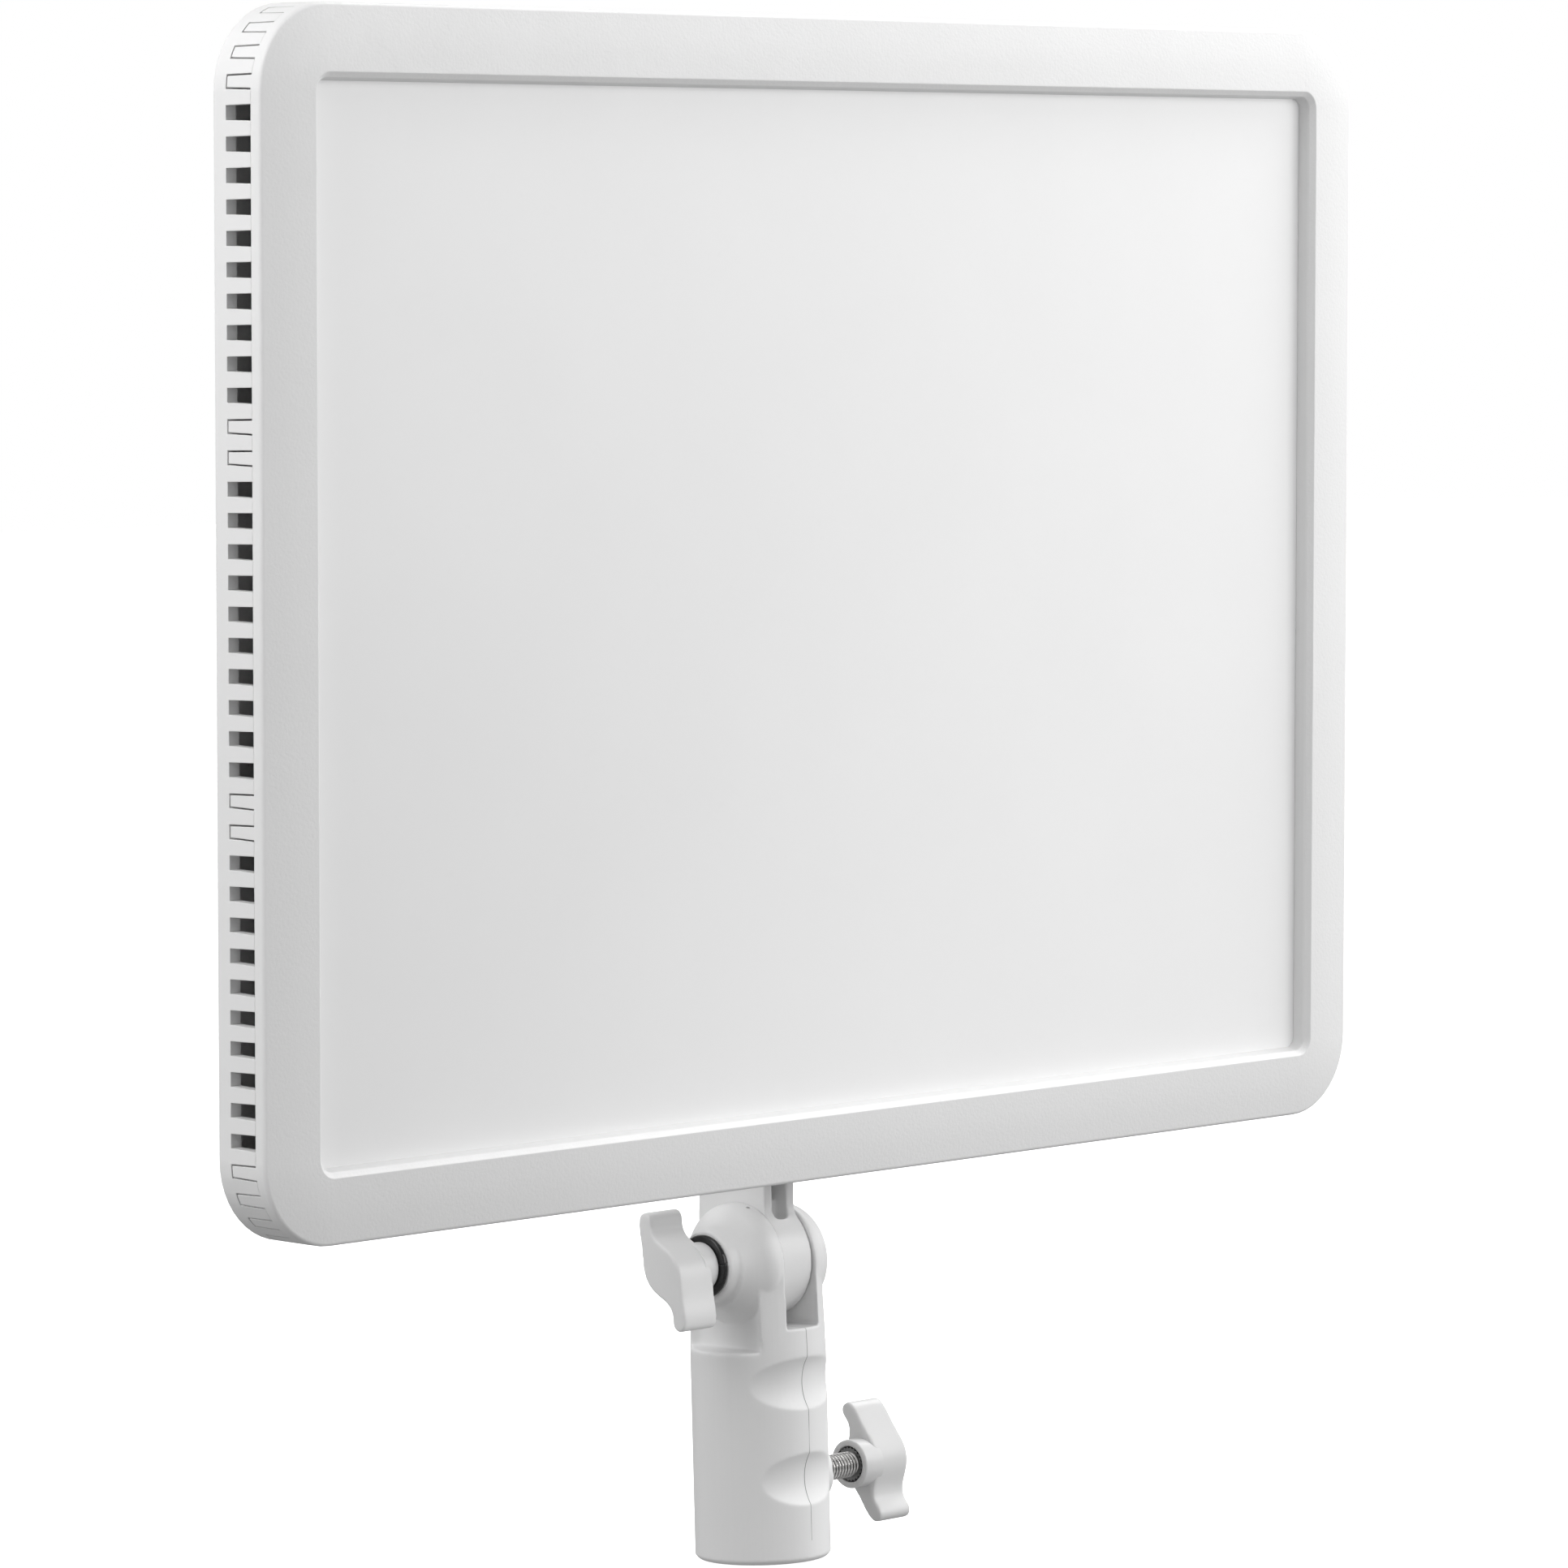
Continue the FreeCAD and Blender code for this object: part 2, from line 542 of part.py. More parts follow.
def encoder_bodies():
    y = BOARD_Y + BOARD_T
    bodies = []
    for sx in (-1, 1):
        body = box(sx * DIAL_X - 6, sx * DIAL_X + 6, y, y + 4.5, DIAL_Z - 6, DIAL_Z + 6)
        neck = rod(V(sx * DIAL_X, y, DIAL_Z), Y_AXIS, 3.8, 8.2)
        bore = rod(V(sx * DIAL_X, y + 1.5, DIAL_Z), Y_AXIS, SHAFT_R + RUNNING, 20)
        bodies.append(joined([body, neck]).cut(bore))
    return Part.makeCompound(bodies)


def dial_shaft(side):
    start = V(side * DIAL_X, BOARD_Y + BOARD_T + 1.7, DIAL_Z)
    return rod(start, Y_AXIS, SHAFT_R, 14.2)


def dial(side):
    y = POD_Y + 0.5
    centre = V(side * DIAL_X, y, DIAL_Z)
    body = rod(centre, Y_AXIS, DIAL_R, 9.5)
    rear = [e for e in body.Edges if e.BoundBox.YMin > y + 9]
    body = body.makeFillet(1.5, rear)
    grooves = []
    count = 30
    for i in range(count):
        a = 2 * math.pi * i / count
        offset = V(math.cos(a), 0, math.sin(a)) * (DIAL_R + 0.25)
        grooves.append(rod(centre + offset + Y_AXIS * 1.5, Y_AXIS, 0.65, 6.0))
    bore = rod(centre - Y_AXIS, Y_AXIS, SHAFT_R, 8.0)
    hollow = tube(centre - Y_AXIS, Y_AXIS, DIAL_R - 2, SHAFT_R + 1.8, 6.0)
    mark = rod(centre + V(0, 9.0, DIAL_R - 3.5), Y_AXIS, 0.8, 2)
    return body.cut(grooves + [bore, hollow, mark])


def button_switches():
    y = BOARD_Y + BOARD_T
    made = []
    for sx in (-1, 1):
        base = box(sx * BUTTON_X - 3, sx * BUTTON_X + 3, y, y + 2.8,
                   BUTTON_Z - 3, BUTTON_Z + 3)
        plunger = rod(V(sx * BUTTON_X, y, BUTTON_Z), Y_AXIS, 1.6, 3.6)
        made.append(joined([base, plunger]))
    return Part.makeCompound(made)


def button(side):
    cap = obround(side * BUTTON_X, BUTTON_Z, BUTTON_W, BUTTON_H, 30.4, POD_Y + 1.2)
    outer = [e for e in cap.Edges if e.BoundBox.YMin > POD_Y + 1]
    cap = cap.makeFillet(0.6, outer)
    brim = obround(side * BUTTON_X, BUTTON_Z, BUTTON_W + 3, BUTTON_H + 3, 30.4, 31.7)
    return joined([cap, brim])


def dc_inlet():
    body = box(JACK_X - 4.5, JACK_X + 4.5, 22.6, 31.7, POD_Z0 + 2.1, -26.5)
    nose = rod(V(JACK_X, 28, POD_Z0), Z_AXIS, 4.1, 4)
    bore = rod(V(JACK_X, 28, POD_Z0 - 1), Z_AXIS, 3.15, 10)
    return joined([body, nose]).cut(bore)


def dc_inlet_pin():
    pin = rod(V(JACK_X, 28, POD_Z0 + 1), Z_AXIS, 1.0, 8)
    return pin


# ---- receiver ------------------------------------------------------------------------
def scallop(z, depth, half_angle, half_height):
    """Ring that cuts a leaf shaped finger hollow in the front of the sleeve."""
    bottom = SLEEVE_R - depth
    c = math.cos(math.radians(half_angle))
    behind = (SLEEVE_R ** 2 - bottom ** 2) / (2 * (bottom - SLEEVE_R * c))
    minor = (half_height ** 2 + depth ** 2) / (2 * depth)
    return Part.makeTorus(bottom + behind + minor, minor, V(0, behind, z), Z_AXIS)


def turned_boss(side, z, start_r, shape):
    """Solid turned about the X axis at height z, from X = 0 outwards. shape is a chain of
    straight runs and arcs through (distance from the middle, radius)."""
    def at(point):
        return V(side * point[0], 0, z + point[1])

    start = (0, start_r)
    edges = [Part.makeLine(at((0, 0)), at(start))]
    for points in shape:
        if len(points) == 1:
            edges.append(Part.makeLine(at(start), at(points[0])))
        else:
            edges.append(Part.Arc(at(start), at(points[0]), at(points[1])).toShape())
        start = points[-1]
    edges.append(Part.makeLine(at(start), at((start[0], 0))))
    edges.append(Part.makeLine(at((start[0], 0)), at((0, 0))))
    return Part.Face(Part.Wire(edges)).revolve(at((0, 0)), X_AXIS, 360)


def knob_side_boss():
    """Domed ear, and on it the neck with the seat that the washer bears on."""
    ear = turned_boss(-1, PIVOT_Z - EAR_DROP, EAR_ROOT_R, [
        [(6.2, EAR_ROOT_R)], [(8.4, 13.95), (10.1, 12.6)], [(11.9, 10.9), (14.2, 9.4)]])
    seat = turned_boss(-1, PIVOT_Z, 9.6, [
        [(13.0, 9.6)], [(14.6, KNOB_SEAT_R + 0.85), (KNOB_SEAT_X - 0.4, KNOB_SEAT_R + 0.3)],
        [(KNOB_SEAT_X, KNOB_SEAT_R)]])
    return ear.fuse(seat)


def bolt_side_boss():
    """Shallower dome that holds the head of the pivot bolt."""
    return turned_boss(1, PIVOT_Z - EAR_DROP, EAR_ROOT_R, [
        [(6.2, EAR_ROOT_R)], [(8.0, 13.7), (9.6, 12.9)],
        [(12.3, 11.4), (BOLT_SEAT_X, BOLT_SEAT_R)]])


def ear_web(shoulder_z):
    """Sides of the ears between shoulder and tilt axis, each with a coved dent outside."""
    top_z = PIVOT_Z - EAR_DROP
    foot = rod(V(0, 0, shoulder_z - 5), Z_AXIS, SLEEVE_R, 5)
    taper = Part.makeCone(SLEEVE_R, WEB_TOP_R, top_z - shoulder_z, V(0, 0, shoulder_z), Z_AXIS)
    web = foot.fuse(taper).common(box(-EAR_X, EAR_X, -20, 20, 0, 100))
    wall_y = math.sqrt(SLEEVE_R ** 2 - EAR_X ** 2) - DENT_WALL_R + 0.5
    dents = []
    for side in (-1, 1):
        x = side * (DENT_X + DENT_WALL_R)
        outer = sorted((side * DENT_X, side * 20))
        dents += [rod(V(x, y, shoulder_z), Z_AXIS, DENT_WALL_R, 60) for y in (-wall_y, wall_y)]
        dents.append(box(outer[0], outer[1], -wall_y, wall_y, shoulder_z, shoulder_z + 60))
    return web.cut(dents)


def stand_receiver():
    shoulder_z = PIVOT_Z - SHOULDER_DROP
    sleeve = rod(V(0, 0, 0), Z_AXIS, SLEEVE_R, shoulder_z)
    rim = [e for e in sleeve.Edges if e.BoundBox.ZMax < 0.1]
    sleeve = sleeve.makeChamfer(0.9, rim)
    boss = rod(V(10, 0, LOCK_Z), X_AXIS, LOCK_BOSS_R, LOCK_BOSS_X - 10)
    body = joined([sleeve, ear_web(shoulder_z), knob_side_boss(), bolt_side_boss(), boss])
    slot_z = PIVOT_Z - SLOT_DEPTH
    cuts = [
        box(-SLOT_W / 2, SLOT_W / 2, -20, 20, slot_z, 100),
        rod(V(0, 0, -1), Z_AXIS, BORE_R, BORE_DEPTH + 1),
        rod(V(-25, 0, PIVOT_Z), X_AXIS, BOLT_R + RUNNING, 50),
        hex_prism(V(BOLT_SEAT_X - HEX_HEIGHT - 0.6, 0, PIVOT_Z), HEX_AF + 0.3, 6),
        rod(V(0, 0, LOCK_Z), X_AXIS, BOLT_R + RUNNING, 20),
        rod(V(LOCK_INSERT_X, 0, LOCK_Z), X_AXIS, INSERT_R, 10),
        scallop(PIVOT_Z - SCALLOP_DROPS[0], 2.0, 54, 6.1),
        scallop(PIVOT_Z - SCALLOP_DROPS[1], 1.9, 45.5, 6.1)]
    return body.cut(cuts)


def hex_prism(start, across_flats, length):
    """Hexagonal prism along +X."""
    r = across_flats / math.sqrt(3)
    points = [start + V(0, r * math.cos(math.pi * i / 3), r * math.sin(math.pi * i / 3))
              for i in range(7)]
    return Part.Face(Part.makePolygon(points)).extrude(V(length, 0, 0))


def pivot_bolt():
    head_x = BOLT_SEAT_X - HEX_HEIGHT - 0.5
    head = hex_prism(V(head_x, 0, PIVOT_Z), HEX_AF, HEX_HEIGHT)
    shank = rod(V(-28, 0, PIVOT_Z), X_AXIS, BOLT_R, 28 + head_x)
    return joined([head, shank])


def lock_insert():
    length = LOCK_BOSS_X - LOCK_INSERT_X
    return tube(V(LOCK_INSERT_X, 0, LOCK_Z), X_AXIS, INSERT_R, BOLT_R + RUNNING, length)


# ---- knobs ---------------------------------------------------------------------------
def wing_outline():
    """Half of the wing knob's outline, (along Y, along Z); the other half is its negative."""
    side = [(6.9, 11.6), (6.5, 7.0), (6.05, 2.8), (5.45, -0.9), (3.6, -3.8), (0.4, -5.9),
            (-2.1, -7.6), (-3.2, -9.5)]
    tip = []
    for degrees in (180, 135, 90, 45):
        a = math.radians(degrees)
        tip.append((-WING_TIP[0] - WING_TIP_R * math.cos(a),
                    -WING_TIP[1] - WING_TIP_R * math.sin(a)))
    return side + tip


def wing_knob():
    """Knob about the X axis: collar from X = 0, wings beyond it towards -X."""
    half = wing_outline()
    points = [V(-KNOB_COLLAR_T, y, z) for y, z in half + [(-y, -z) for y, z in half]]
    curve = Part.BSplineCurve()
    curve.interpolate(Points=points, PeriodicFlag=True)
    wings = Part.Face(Part.Wire([curve.toShape()])).extrude(V(-KNOB_BODY_T, 0, 0))
    outline = [e for e in wings.Edges if e.BoundBox.XLength < 0.1]
    wings = wings.makeFillet(KNOB_FILLET, outline)
    collar = rod(V(0, 0, 0), X_AXIS * -1, KNOB_COLLAR_R, KNOB_COLLAR_T + 2)
    return wings.fuse(collar)


def place_tilt_knob(shape):
    shape.Placement = FreeCAD.Placement(V(TILT_KNOB_X, 0, PIVOT_Z), FreeCAD.Rotation())
    return shape


def place_lock_knob(shape):
    half_turn = FreeCAD.Rotation(Z_AXIS, 180)
    rest = FreeCAD.Rotation(X_AXIS, LOCK_TURN).multiply(half_turn)
    shape.Placement = FreeCAD.Placement(V(LOCK_COLLAR_X, 0, LOCK_Z), rest)
    return shape


def tilt_knob():
    knob = wing_knob().cut([rod(V(1, 0, 0), X_AXIS * -1, INSERT_R, INSERT_END + 1),
                            box(-TILT_COLLAR_CUT, 1, -8, 8, -8, 8)])
    return place_tilt_knob(knob)


def tilt_knob_insert():
    length = INSERT_END - TILT_COLLAR_CUT
    nut = tube(V(-INSERT_END, 0, 0), X_AXIS, INSERT_R, BOLT_R + RUNNING, length)
    return place_tilt_knob(nut)


def lock_knob():
    return place_lock_knob(wing_knob().cut(knurl()))


def knurl():
    """Serrated head of the lock screw, from the collar's face inwards."""
    points = []
    for i in range(2 * KNURL_TEETH + 1):
        r = KNURL_R if i % 2 else KNURL_ROOT_R
        a = math.pi * i / KNURL_TEETH
        points.append(V(0, r * math.cos(a), r * math.sin(a)))
    return Part.Face(Part.makePolygon(points)).extrude(V(-KNURL_DEPTH, 0, 0))


def lock_screw():
    thread = rod(V(-3, 0, 0), X_AXIS, BOLT_R, LOCK_COLLAR_X - 10.9 + 3)
    return place_lock_knob(joined([knurl(), thread]))


def knob_washer():
    return tube(V(WASHER_X, 0, PIVOT_Z), X_AXIS, WASHER_R, BOLT_R + 0.08, WASHER_T)


def lock_pad():
    return rod(V(8.4, 0, LOCK_Z), X_AXIS, BOLT_R - 0.05, 2.4)


# ---- the row -------------------------------------------------------------------------
def head_nodes():
    open_at, blank_at = vent_places()
    film_y = RECESS + DIFFUSER_T + 0.1
    guide_y = 6.2
    return {
        "front_bezel": front_bezel(blank_at),
        "diffuser_plate": diffuser_plate(),
        "diffusion_film": stack_sheet(FILM_T, film_y),
        "light_guide_plate": stack_sheet(GUIDE_T, guide_y),
        "reflector_sheet": stack_sheet(FILM_T, guide_y + GUIDE_T + 0.05),
        "heat_sink_tray": heat_sink_tray(),
        "led_strip_left": led_strip(-1),
        "led_strip_right": led_strip(1),
        "led_chips_left": led_chips(-1),
        "led_chips_right": led_chips(1),
        "led_harness": led_harness(),
        "rear_housing": rear_housing(open_at, blank_at),
        "housing_screws": housing_screws(),
        "driver_board": driver_board(),
        "driver_components": driver_components(),
        "driver_standoffs": driver_standoffs(),
        "driver_screws": small_screws(driver_points(), 14.6 + BOARD_T, 3.8, 1),
        "tilt_arm": tilt_arm(),
        "arm_screws": arm_screws(),
        "arm_backing_plate": arm_backing_plate(),
        "control_cover": control_cover(),
        "cover_screws": small_screws(cover_points(), BACK_Y - BACK_WALL, 8.0, -1),
        "control_board": control_board(),
        "board_screws": small_screws(board_points(), BOARD_Y, 5.5, -1),
        "display_module": display_module(),
        "display_window": window_slab(0, POD_Y - 1.2, POD_Y),
        "encoder_bodies": encoder_bodies(),
        "button_switches": button_switches(),
        "dc_inlet": dc_inlet(),
        "dc_inlet_pin": dc_inlet_pin(),
        "brightness_shaft": dial_shaft(-1),
        "brightness_dial": dial(-1),
        "colour_shaft": dial_shaft(1),
        "colour_dial": dial(1),
        "power_button": button(-1),
        "mode_button": button(1),
    }


def receiver_nodes():
    return {
        "stand_receiver": stand_receiver(),
        "lock_insert": lock_insert(),
        "pivot_bolt": pivot_bolt(),
        "knob_washer": knob_washer(),
        "tilt_knob": tilt_knob(),
        "tilt_knob_insert": tilt_knob_insert(),
        "lock_pad": lock_pad(),
        "lock_knob": lock_knob(),
        "lock_screw": lock_screw(),
    }


os.makedirs("parts", exist_ok=True)
nodes = receiver_nodes()
for name, shape in head_nodes().items():
    shape.transformShape(HEAD.toMatrix(), True)
    nodes[name] = shape
for name, shape in nodes.items():
    if not shape.isValid():
        print("not valid:", name)
    print(name, len(shape.Solids), round(shape.Volume))
    shape.exportStep("parts/" + name + ".step")
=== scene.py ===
import json
import math

import bmesh
import bpy
import numpy as np
from mathutils import Matrix, Vector


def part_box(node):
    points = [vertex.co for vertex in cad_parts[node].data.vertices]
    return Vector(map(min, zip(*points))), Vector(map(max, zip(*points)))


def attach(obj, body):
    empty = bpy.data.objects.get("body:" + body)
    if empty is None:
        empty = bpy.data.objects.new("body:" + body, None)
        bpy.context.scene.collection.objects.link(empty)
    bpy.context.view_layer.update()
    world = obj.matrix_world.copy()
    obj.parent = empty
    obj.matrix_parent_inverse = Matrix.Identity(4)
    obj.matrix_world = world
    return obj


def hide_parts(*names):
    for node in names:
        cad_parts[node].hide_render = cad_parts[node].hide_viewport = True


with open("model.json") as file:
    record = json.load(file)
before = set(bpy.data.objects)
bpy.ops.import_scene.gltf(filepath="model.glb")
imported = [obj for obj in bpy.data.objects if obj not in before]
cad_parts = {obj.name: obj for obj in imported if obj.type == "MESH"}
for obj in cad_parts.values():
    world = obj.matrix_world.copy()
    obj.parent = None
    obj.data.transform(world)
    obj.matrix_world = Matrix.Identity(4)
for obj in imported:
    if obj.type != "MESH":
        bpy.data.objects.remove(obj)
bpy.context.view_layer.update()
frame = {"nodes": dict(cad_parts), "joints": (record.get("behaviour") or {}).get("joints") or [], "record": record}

# LED panel light on a tilting stand receiver. Metres, in the row frame.
# ---- driving values ------------------------------------------------------------------
MM = 0.001
LOCK_TURN = -42.7            # rest angle of the lock knob, degrees
LEAN = 2.0                   # forward lean of the head, degrees
PIVOT_IN_PANEL = (30.4, -155.1)    # pivot in the panel's own frame, (y, z) in mm

CAMERA_AT = (-1.20933, -1.17953, 0.27035)
CAMERA_YAW, CAMERA_PITCH, CAMERA_ROLL = 46.0296, -3.038, -1.402
CAMERA_LENS = 166.80

AMBIENT = 0.31               # light of the surround on the object; it shows as 1
# degrees round from the front, degrees up, watts
FAR_LIGHTS = ((-90, 20, 3.1), (-90, 50, 3.3), (-120, 20, 1.5), (0, 15, 1.7), (20, 15, 1.4),
              (40, 15, 3.65), (60, -15, 1.0), (60, 15, 0.76), (95, 15, 2.1), (95, 45, 3.2),
              (135, 20, 1.0), (180, 30, 2.0))
FAR_AIM, FAR_AWAY, FAR_SIZE = (0.0, 0.0, 0.19), 1.2, 0.7
# the same, and the X of the point near the panel's top that they aim at
NEAR_LIGHTS = ((60, 35, 0.8, 0.18), (80, 50, 2.5, 0.18), (-97, 35, 0.9, -0.18))
NEAR_Z, NEAR_AWAY, NEAR_SIZE = 0.31, 0.55, 0.4


def joint_place(name):
    return Vector(next(j["pos_m"] for j in frame["joints"] if j["name"] == name))


PIVOT_Z = joint_place("head_tilt").z
LOCK_Z = joint_place("lock_knob_turn").z
SHOULDER_Z = PIVOT_Z - 20.1 * MM
LOCK_HOLE_R = 3.25 * MM
FACE_DEPTH = 1.35 * MM       # how far the crown of the bezel falls
SMOOTH_TINT = 0.05           # smooth walls are this much darker than the grained face
GAP_SHADE_AT = (-7.0 * MM, -4.7 * MM, PIVOT_Z + 12.9 * MM)     # small dent painted dark on the left ear: painted shade where its gap to the neck begins
SEAM_FROM, SEAM_TO = 5 * MM, PIVOT_Z - 14 * MM            # heights that the seam spans
SEAM_CORE, SEAM_EDGE = 0.05 * MM, 0.13 * MM               # its half width, full to faded
SEAM_FRONT = -9 * MM                                      # it shows forward of this
COLLAR_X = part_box("lock_knob")[0].x          # face of the lock knob's collar
TILT_COLLAR_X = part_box("tilt_knob")[1].x     # face of the tilt knob's collar


# ---- nodes of a material -------------------------------------------------------------
class Tree:
    """A material's node tree, with short calls for the nodes used here."""

    def __init__(self, name):
        self.material = bpy.data.materials.new(name)
        self.material.use_nodes = True
        self.nodes = self.material.node_tree.nodes
        self.links = self.material.node_tree.links
        self.shader = self.nodes["Principled BSDF"]
        self.place = self.nodes.new("ShaderNodeTexCoord").outputs["Object"]

    def put(self, socket, value):
        if isinstance(value, bpy.types.NodeSocket):
            self.links.new(value, socket)
        else:
            socket.default_value = value

    def math(self, operation, a, b=0.0):
        node = self.nodes.new("ShaderNodeMath")
        node.operation = operation
        self.put(node.inputs[0], a)
        self.put(node.inputs[1], b)
        return node.outputs[0]

    def noise(self, size, detail=2.0, roughness=0.5, at=None):
        """Noise whose cells are about size metres across."""
        node = self.nodes.new("ShaderNodeTexNoise")
        self.links.new(at or self.place, node.inputs["Vector"])
        node.inputs["Scale"].default_value = 1.0 / size
        node.inputs["Detail"].default_value = detail
        node.inputs["Roughness"].default_value = roughness
        return node.outputs["Fac"]

    def cells(self, size):
        node = self.nodes.new("ShaderNodeTexVoronoi")
        node.feature = "SMOOTH_F1"
        self.links.new(self.place, node.inputs["Vector"])
        node.inputs["Scale"].default_value = 1.0 / size
        return node.outputs["Distance"]

    def stretched(self, sx, sy, sz):
        """Object coordinates divided by the given lengths, for streaks."""
        node = self.nodes.new("ShaderNodeVectorMath")
        node.operation = "MULTIPLY"
        self.links.new(self.place, node.inputs[0])
        node.inputs[1].default_value = (1 / sx, 1 / sy, 1 / sz)
        return node.outputs[0]

    def specks(self, apart, radius):
        """1 inside small sparse dots about apart metres from each other."""
        node = self.nodes.new("ShaderNodeTexVoronoi")
        self.links.new(self.place, node.inputs["Vector"])
        node.inputs["Scale"].default_value = 1.0 / apart
        near = self.spread(node.outputs["Distance"], radius / apart * 0.5, radius / apart,
                           1.0, 0.0)
        chosen = self.math("GREATER_THAN", self.split_red(node.outputs["Color"]), 0.45)
        return self.math("MULTIPLY", near, chosen)

    def split_red(self, colour):
        node = self.nodes.new("ShaderNodeSeparateColor")
        self.links.new(colour, node.inputs[0])
        return node.outputs[0]

    def spread(self, value, low, high, to_low, to_high):
        node = self.nodes.new("ShaderNodeMapRange")
        for socket, given in zip(node.inputs, (value, low, high, to_low, to_high)):
            self.put(socket, given)
        return node.outputs[0]

    def blend(self, factor, a, b):
        node = self.nodes.new("ShaderNodeMix")
        node.data_type = "RGBA"
        self.put(node.inputs["Factor"], factor)
        self.put(node.inputs[6], a)
        self.put(node.inputs[7], b)
        return node.outputs[2]

    def apart(self, vector):
        node = self.nodes.new("ShaderNodeSeparateXYZ")
        self.links.new(vector, node.inputs[0])
        return node.outputs

    def bump(self, height, depth, strength=1.0, normal=None):
        """Bump whose full height is depth metres."""
        node = self.nodes.new("ShaderNodeBump")
        node.inputs["Distance"].default_value = depth
        node.inputs["Strength"].default_value = strength
        self.links.new(height, node.inputs["Height"])
        if normal is not None:
            self.links.new(normal, node.inputs["Normal"])
        return node.outputs[0]

    def soft_edge(self, radius):
        """(normal rounded over the edges, mask that is 1 at an edge)."""
        bevel = self.nodes.new("ShaderNodeBevel")
        bevel.samples = 4
        bevel.inputs["Radius"].default_value = radius
        true = self.nodes.new("ShaderNodeNewGeometry").outputs["Normal"]
        dot = self.nodes.new("ShaderNodeVectorMath")
        dot.operation = "DOT_PRODUCT"
        self.links.new(bevel.outputs[0], dot.inputs[0])
        self.links.new(true, dot.inputs[1])
        return bevel.outputs[0], self.spread(dot.outputs["Value"], 1.0, 0.75, 0.0, 1.0)


def grey(value):
    return (value, value, value, 1.0)


def moulded(name, shade, rough, grain, depth, edge=0.35 * MM, tint=0.03, sheen=0.5,
            round_by_node=True, finish=None, pebbled=None):
    """Moulded plastic: pebbled skin, faint flow marks, specks, and edges rubbed smoother and painted a little
    lighter, as wear and as a painted highlight along the edges.
    finish(tree, colour) may add to the colour and return (colour, extra height or None).
    pebbled(tree) is 1 where the skin has its grain and 0 where it is smooth and duller."""
    t = Tree(name)
    flow = t.noise(38 * MM, 3.0)
    dust = t.noise(2.4 * MM, 4.0, 0.65)
    dark, light = (shade - tint, shade - tint, shade - tint, 1.0), grey(shade + tint * 0.5)
    colour = t.blend(t.math("MULTIPLY_ADD", flow, 0.75), dark, light)
    colour = t.blend(t.spread(dust, 0.62, 0.8, 0.0, 0.10), colour, grey(shade * 0.86))
    rounded, edge_wear_and_highlight = t.soft_edge(edge)
    # edges painted a little lighter: partly wear, partly a painted highlight along the edges
    colour = t.blend(t.math("MULTIPLY", edge_wear_and_highlight, 0.25), colour, grey(min(shade * 1.08, 1)))
    colour = t.blend(t.math("MULTIPLY", t.specks(17 * MM, 0.22 * MM), 0.45), colour,
                     grey(shade * 0.4))
    extra = None
    grained = pebbled(t) if pebbled else None
    if pebbled:
        colour = t.blend(t.spread(grained, 0.0, 1.0, SMOOTH_TINT, 0.0), colour, grey(0.0))
    if finish:
        colour, extra = finish(t, colour)
    t.links.new(colour, t.shader.inputs["Base Color"])
    skin = t.spread(t.noise(grain * 3, 3.0), 0.3, 0.7, rough - 0.05, rough + 0.06)
    t.links.new(t.math("SUBTRACT", skin, t.math("MULTIPLY", edge_wear_and_highlight, 0.12)),
                t.shader.inputs["Roughness"])
    pebble = t.math("ADD", t.math("MULTIPLY", t.cells(grain), 0.6),
                    t.noise(grain * 0.7, 2.0))
    if pebbled:
        pebble = t.math("MULTIPLY", pebble, t.spread(grained, 0.0, 1.0, 0.15, 1.0))
    normal = t.bump(pebble, depth, 1.0, rounded if round_by_node else None)
    if extra is not None:
        normal = t.bump(extra, 0.12 * MM, 1.0, normal)
    t.links.new(normal, t.shader.inputs["Normal"])
    t.shader.inputs["Specular IOR Level"].default_value = sheen
    return t


def on_face(t):
    """1 on the crowned front of the bezel, 0 on its side walls and behind."""
    _, y, z = t.apart(t.place)
    lean = math.radians(LEAN)
    depth = t.math("ADD", t.math("MULTIPLY", y, math.cos(lean)),
                   t.math("MULTIPLY", t.math("SUBTRACT", z, PIVOT_Z), math.sin(lean)))
    front = -PIVOT_IN_PANEL[0] * MM
    return t.spread(depth, front + FACE_DEPTH, front + FACE_DEPTH + 0.5 * MM, 1.0, 0.0)


def parting_seam(t, colour):
    """Hairline seam down the front of the receiver, and faint streaks along it."""
    x, y, z = t.apart(t.place)
    wander = t.math("MULTIPLY", t.math("SUBTRACT", t.noise(9 * MM), 0.5), 0.10 * MM)
    off = t.math("ABSOLUTE", t.math("ADD", x, wander))
    line = t.spread(off, SEAM_CORE, SEAM_EDGE, 1.0, 0.0)
    front = t.math("LESS_THAN", y, SEAM_FRONT)
    span = t.math("MULTIPLY", t.math("GREATER_THAN", z, SEAM_FROM),
                  t.math("LESS_THAN", z, SEAM_TO))
    line = t.math("MULTIPLY", t.math("MULTIPLY", line, front), span)
    strong = t.spread(t.noise(11 * MM, 1.0), 0.40, 0.62, 0.35, 0.9)
    groove = t.math("MULTIPLY", line, strong)
    streak = t.noise(1.0, 2.0, at=t.stretched(0.9 * MM, 0.9 * MM, 60 * MM))
    colour = t.blend(t.spread(streak, 0.45, 0.75, 0.0, 0.04), colour, grey(0.62))
    return t.blend(groove, colour, grey(0.16)), t.math("MULTIPLY", groove, -1.0)


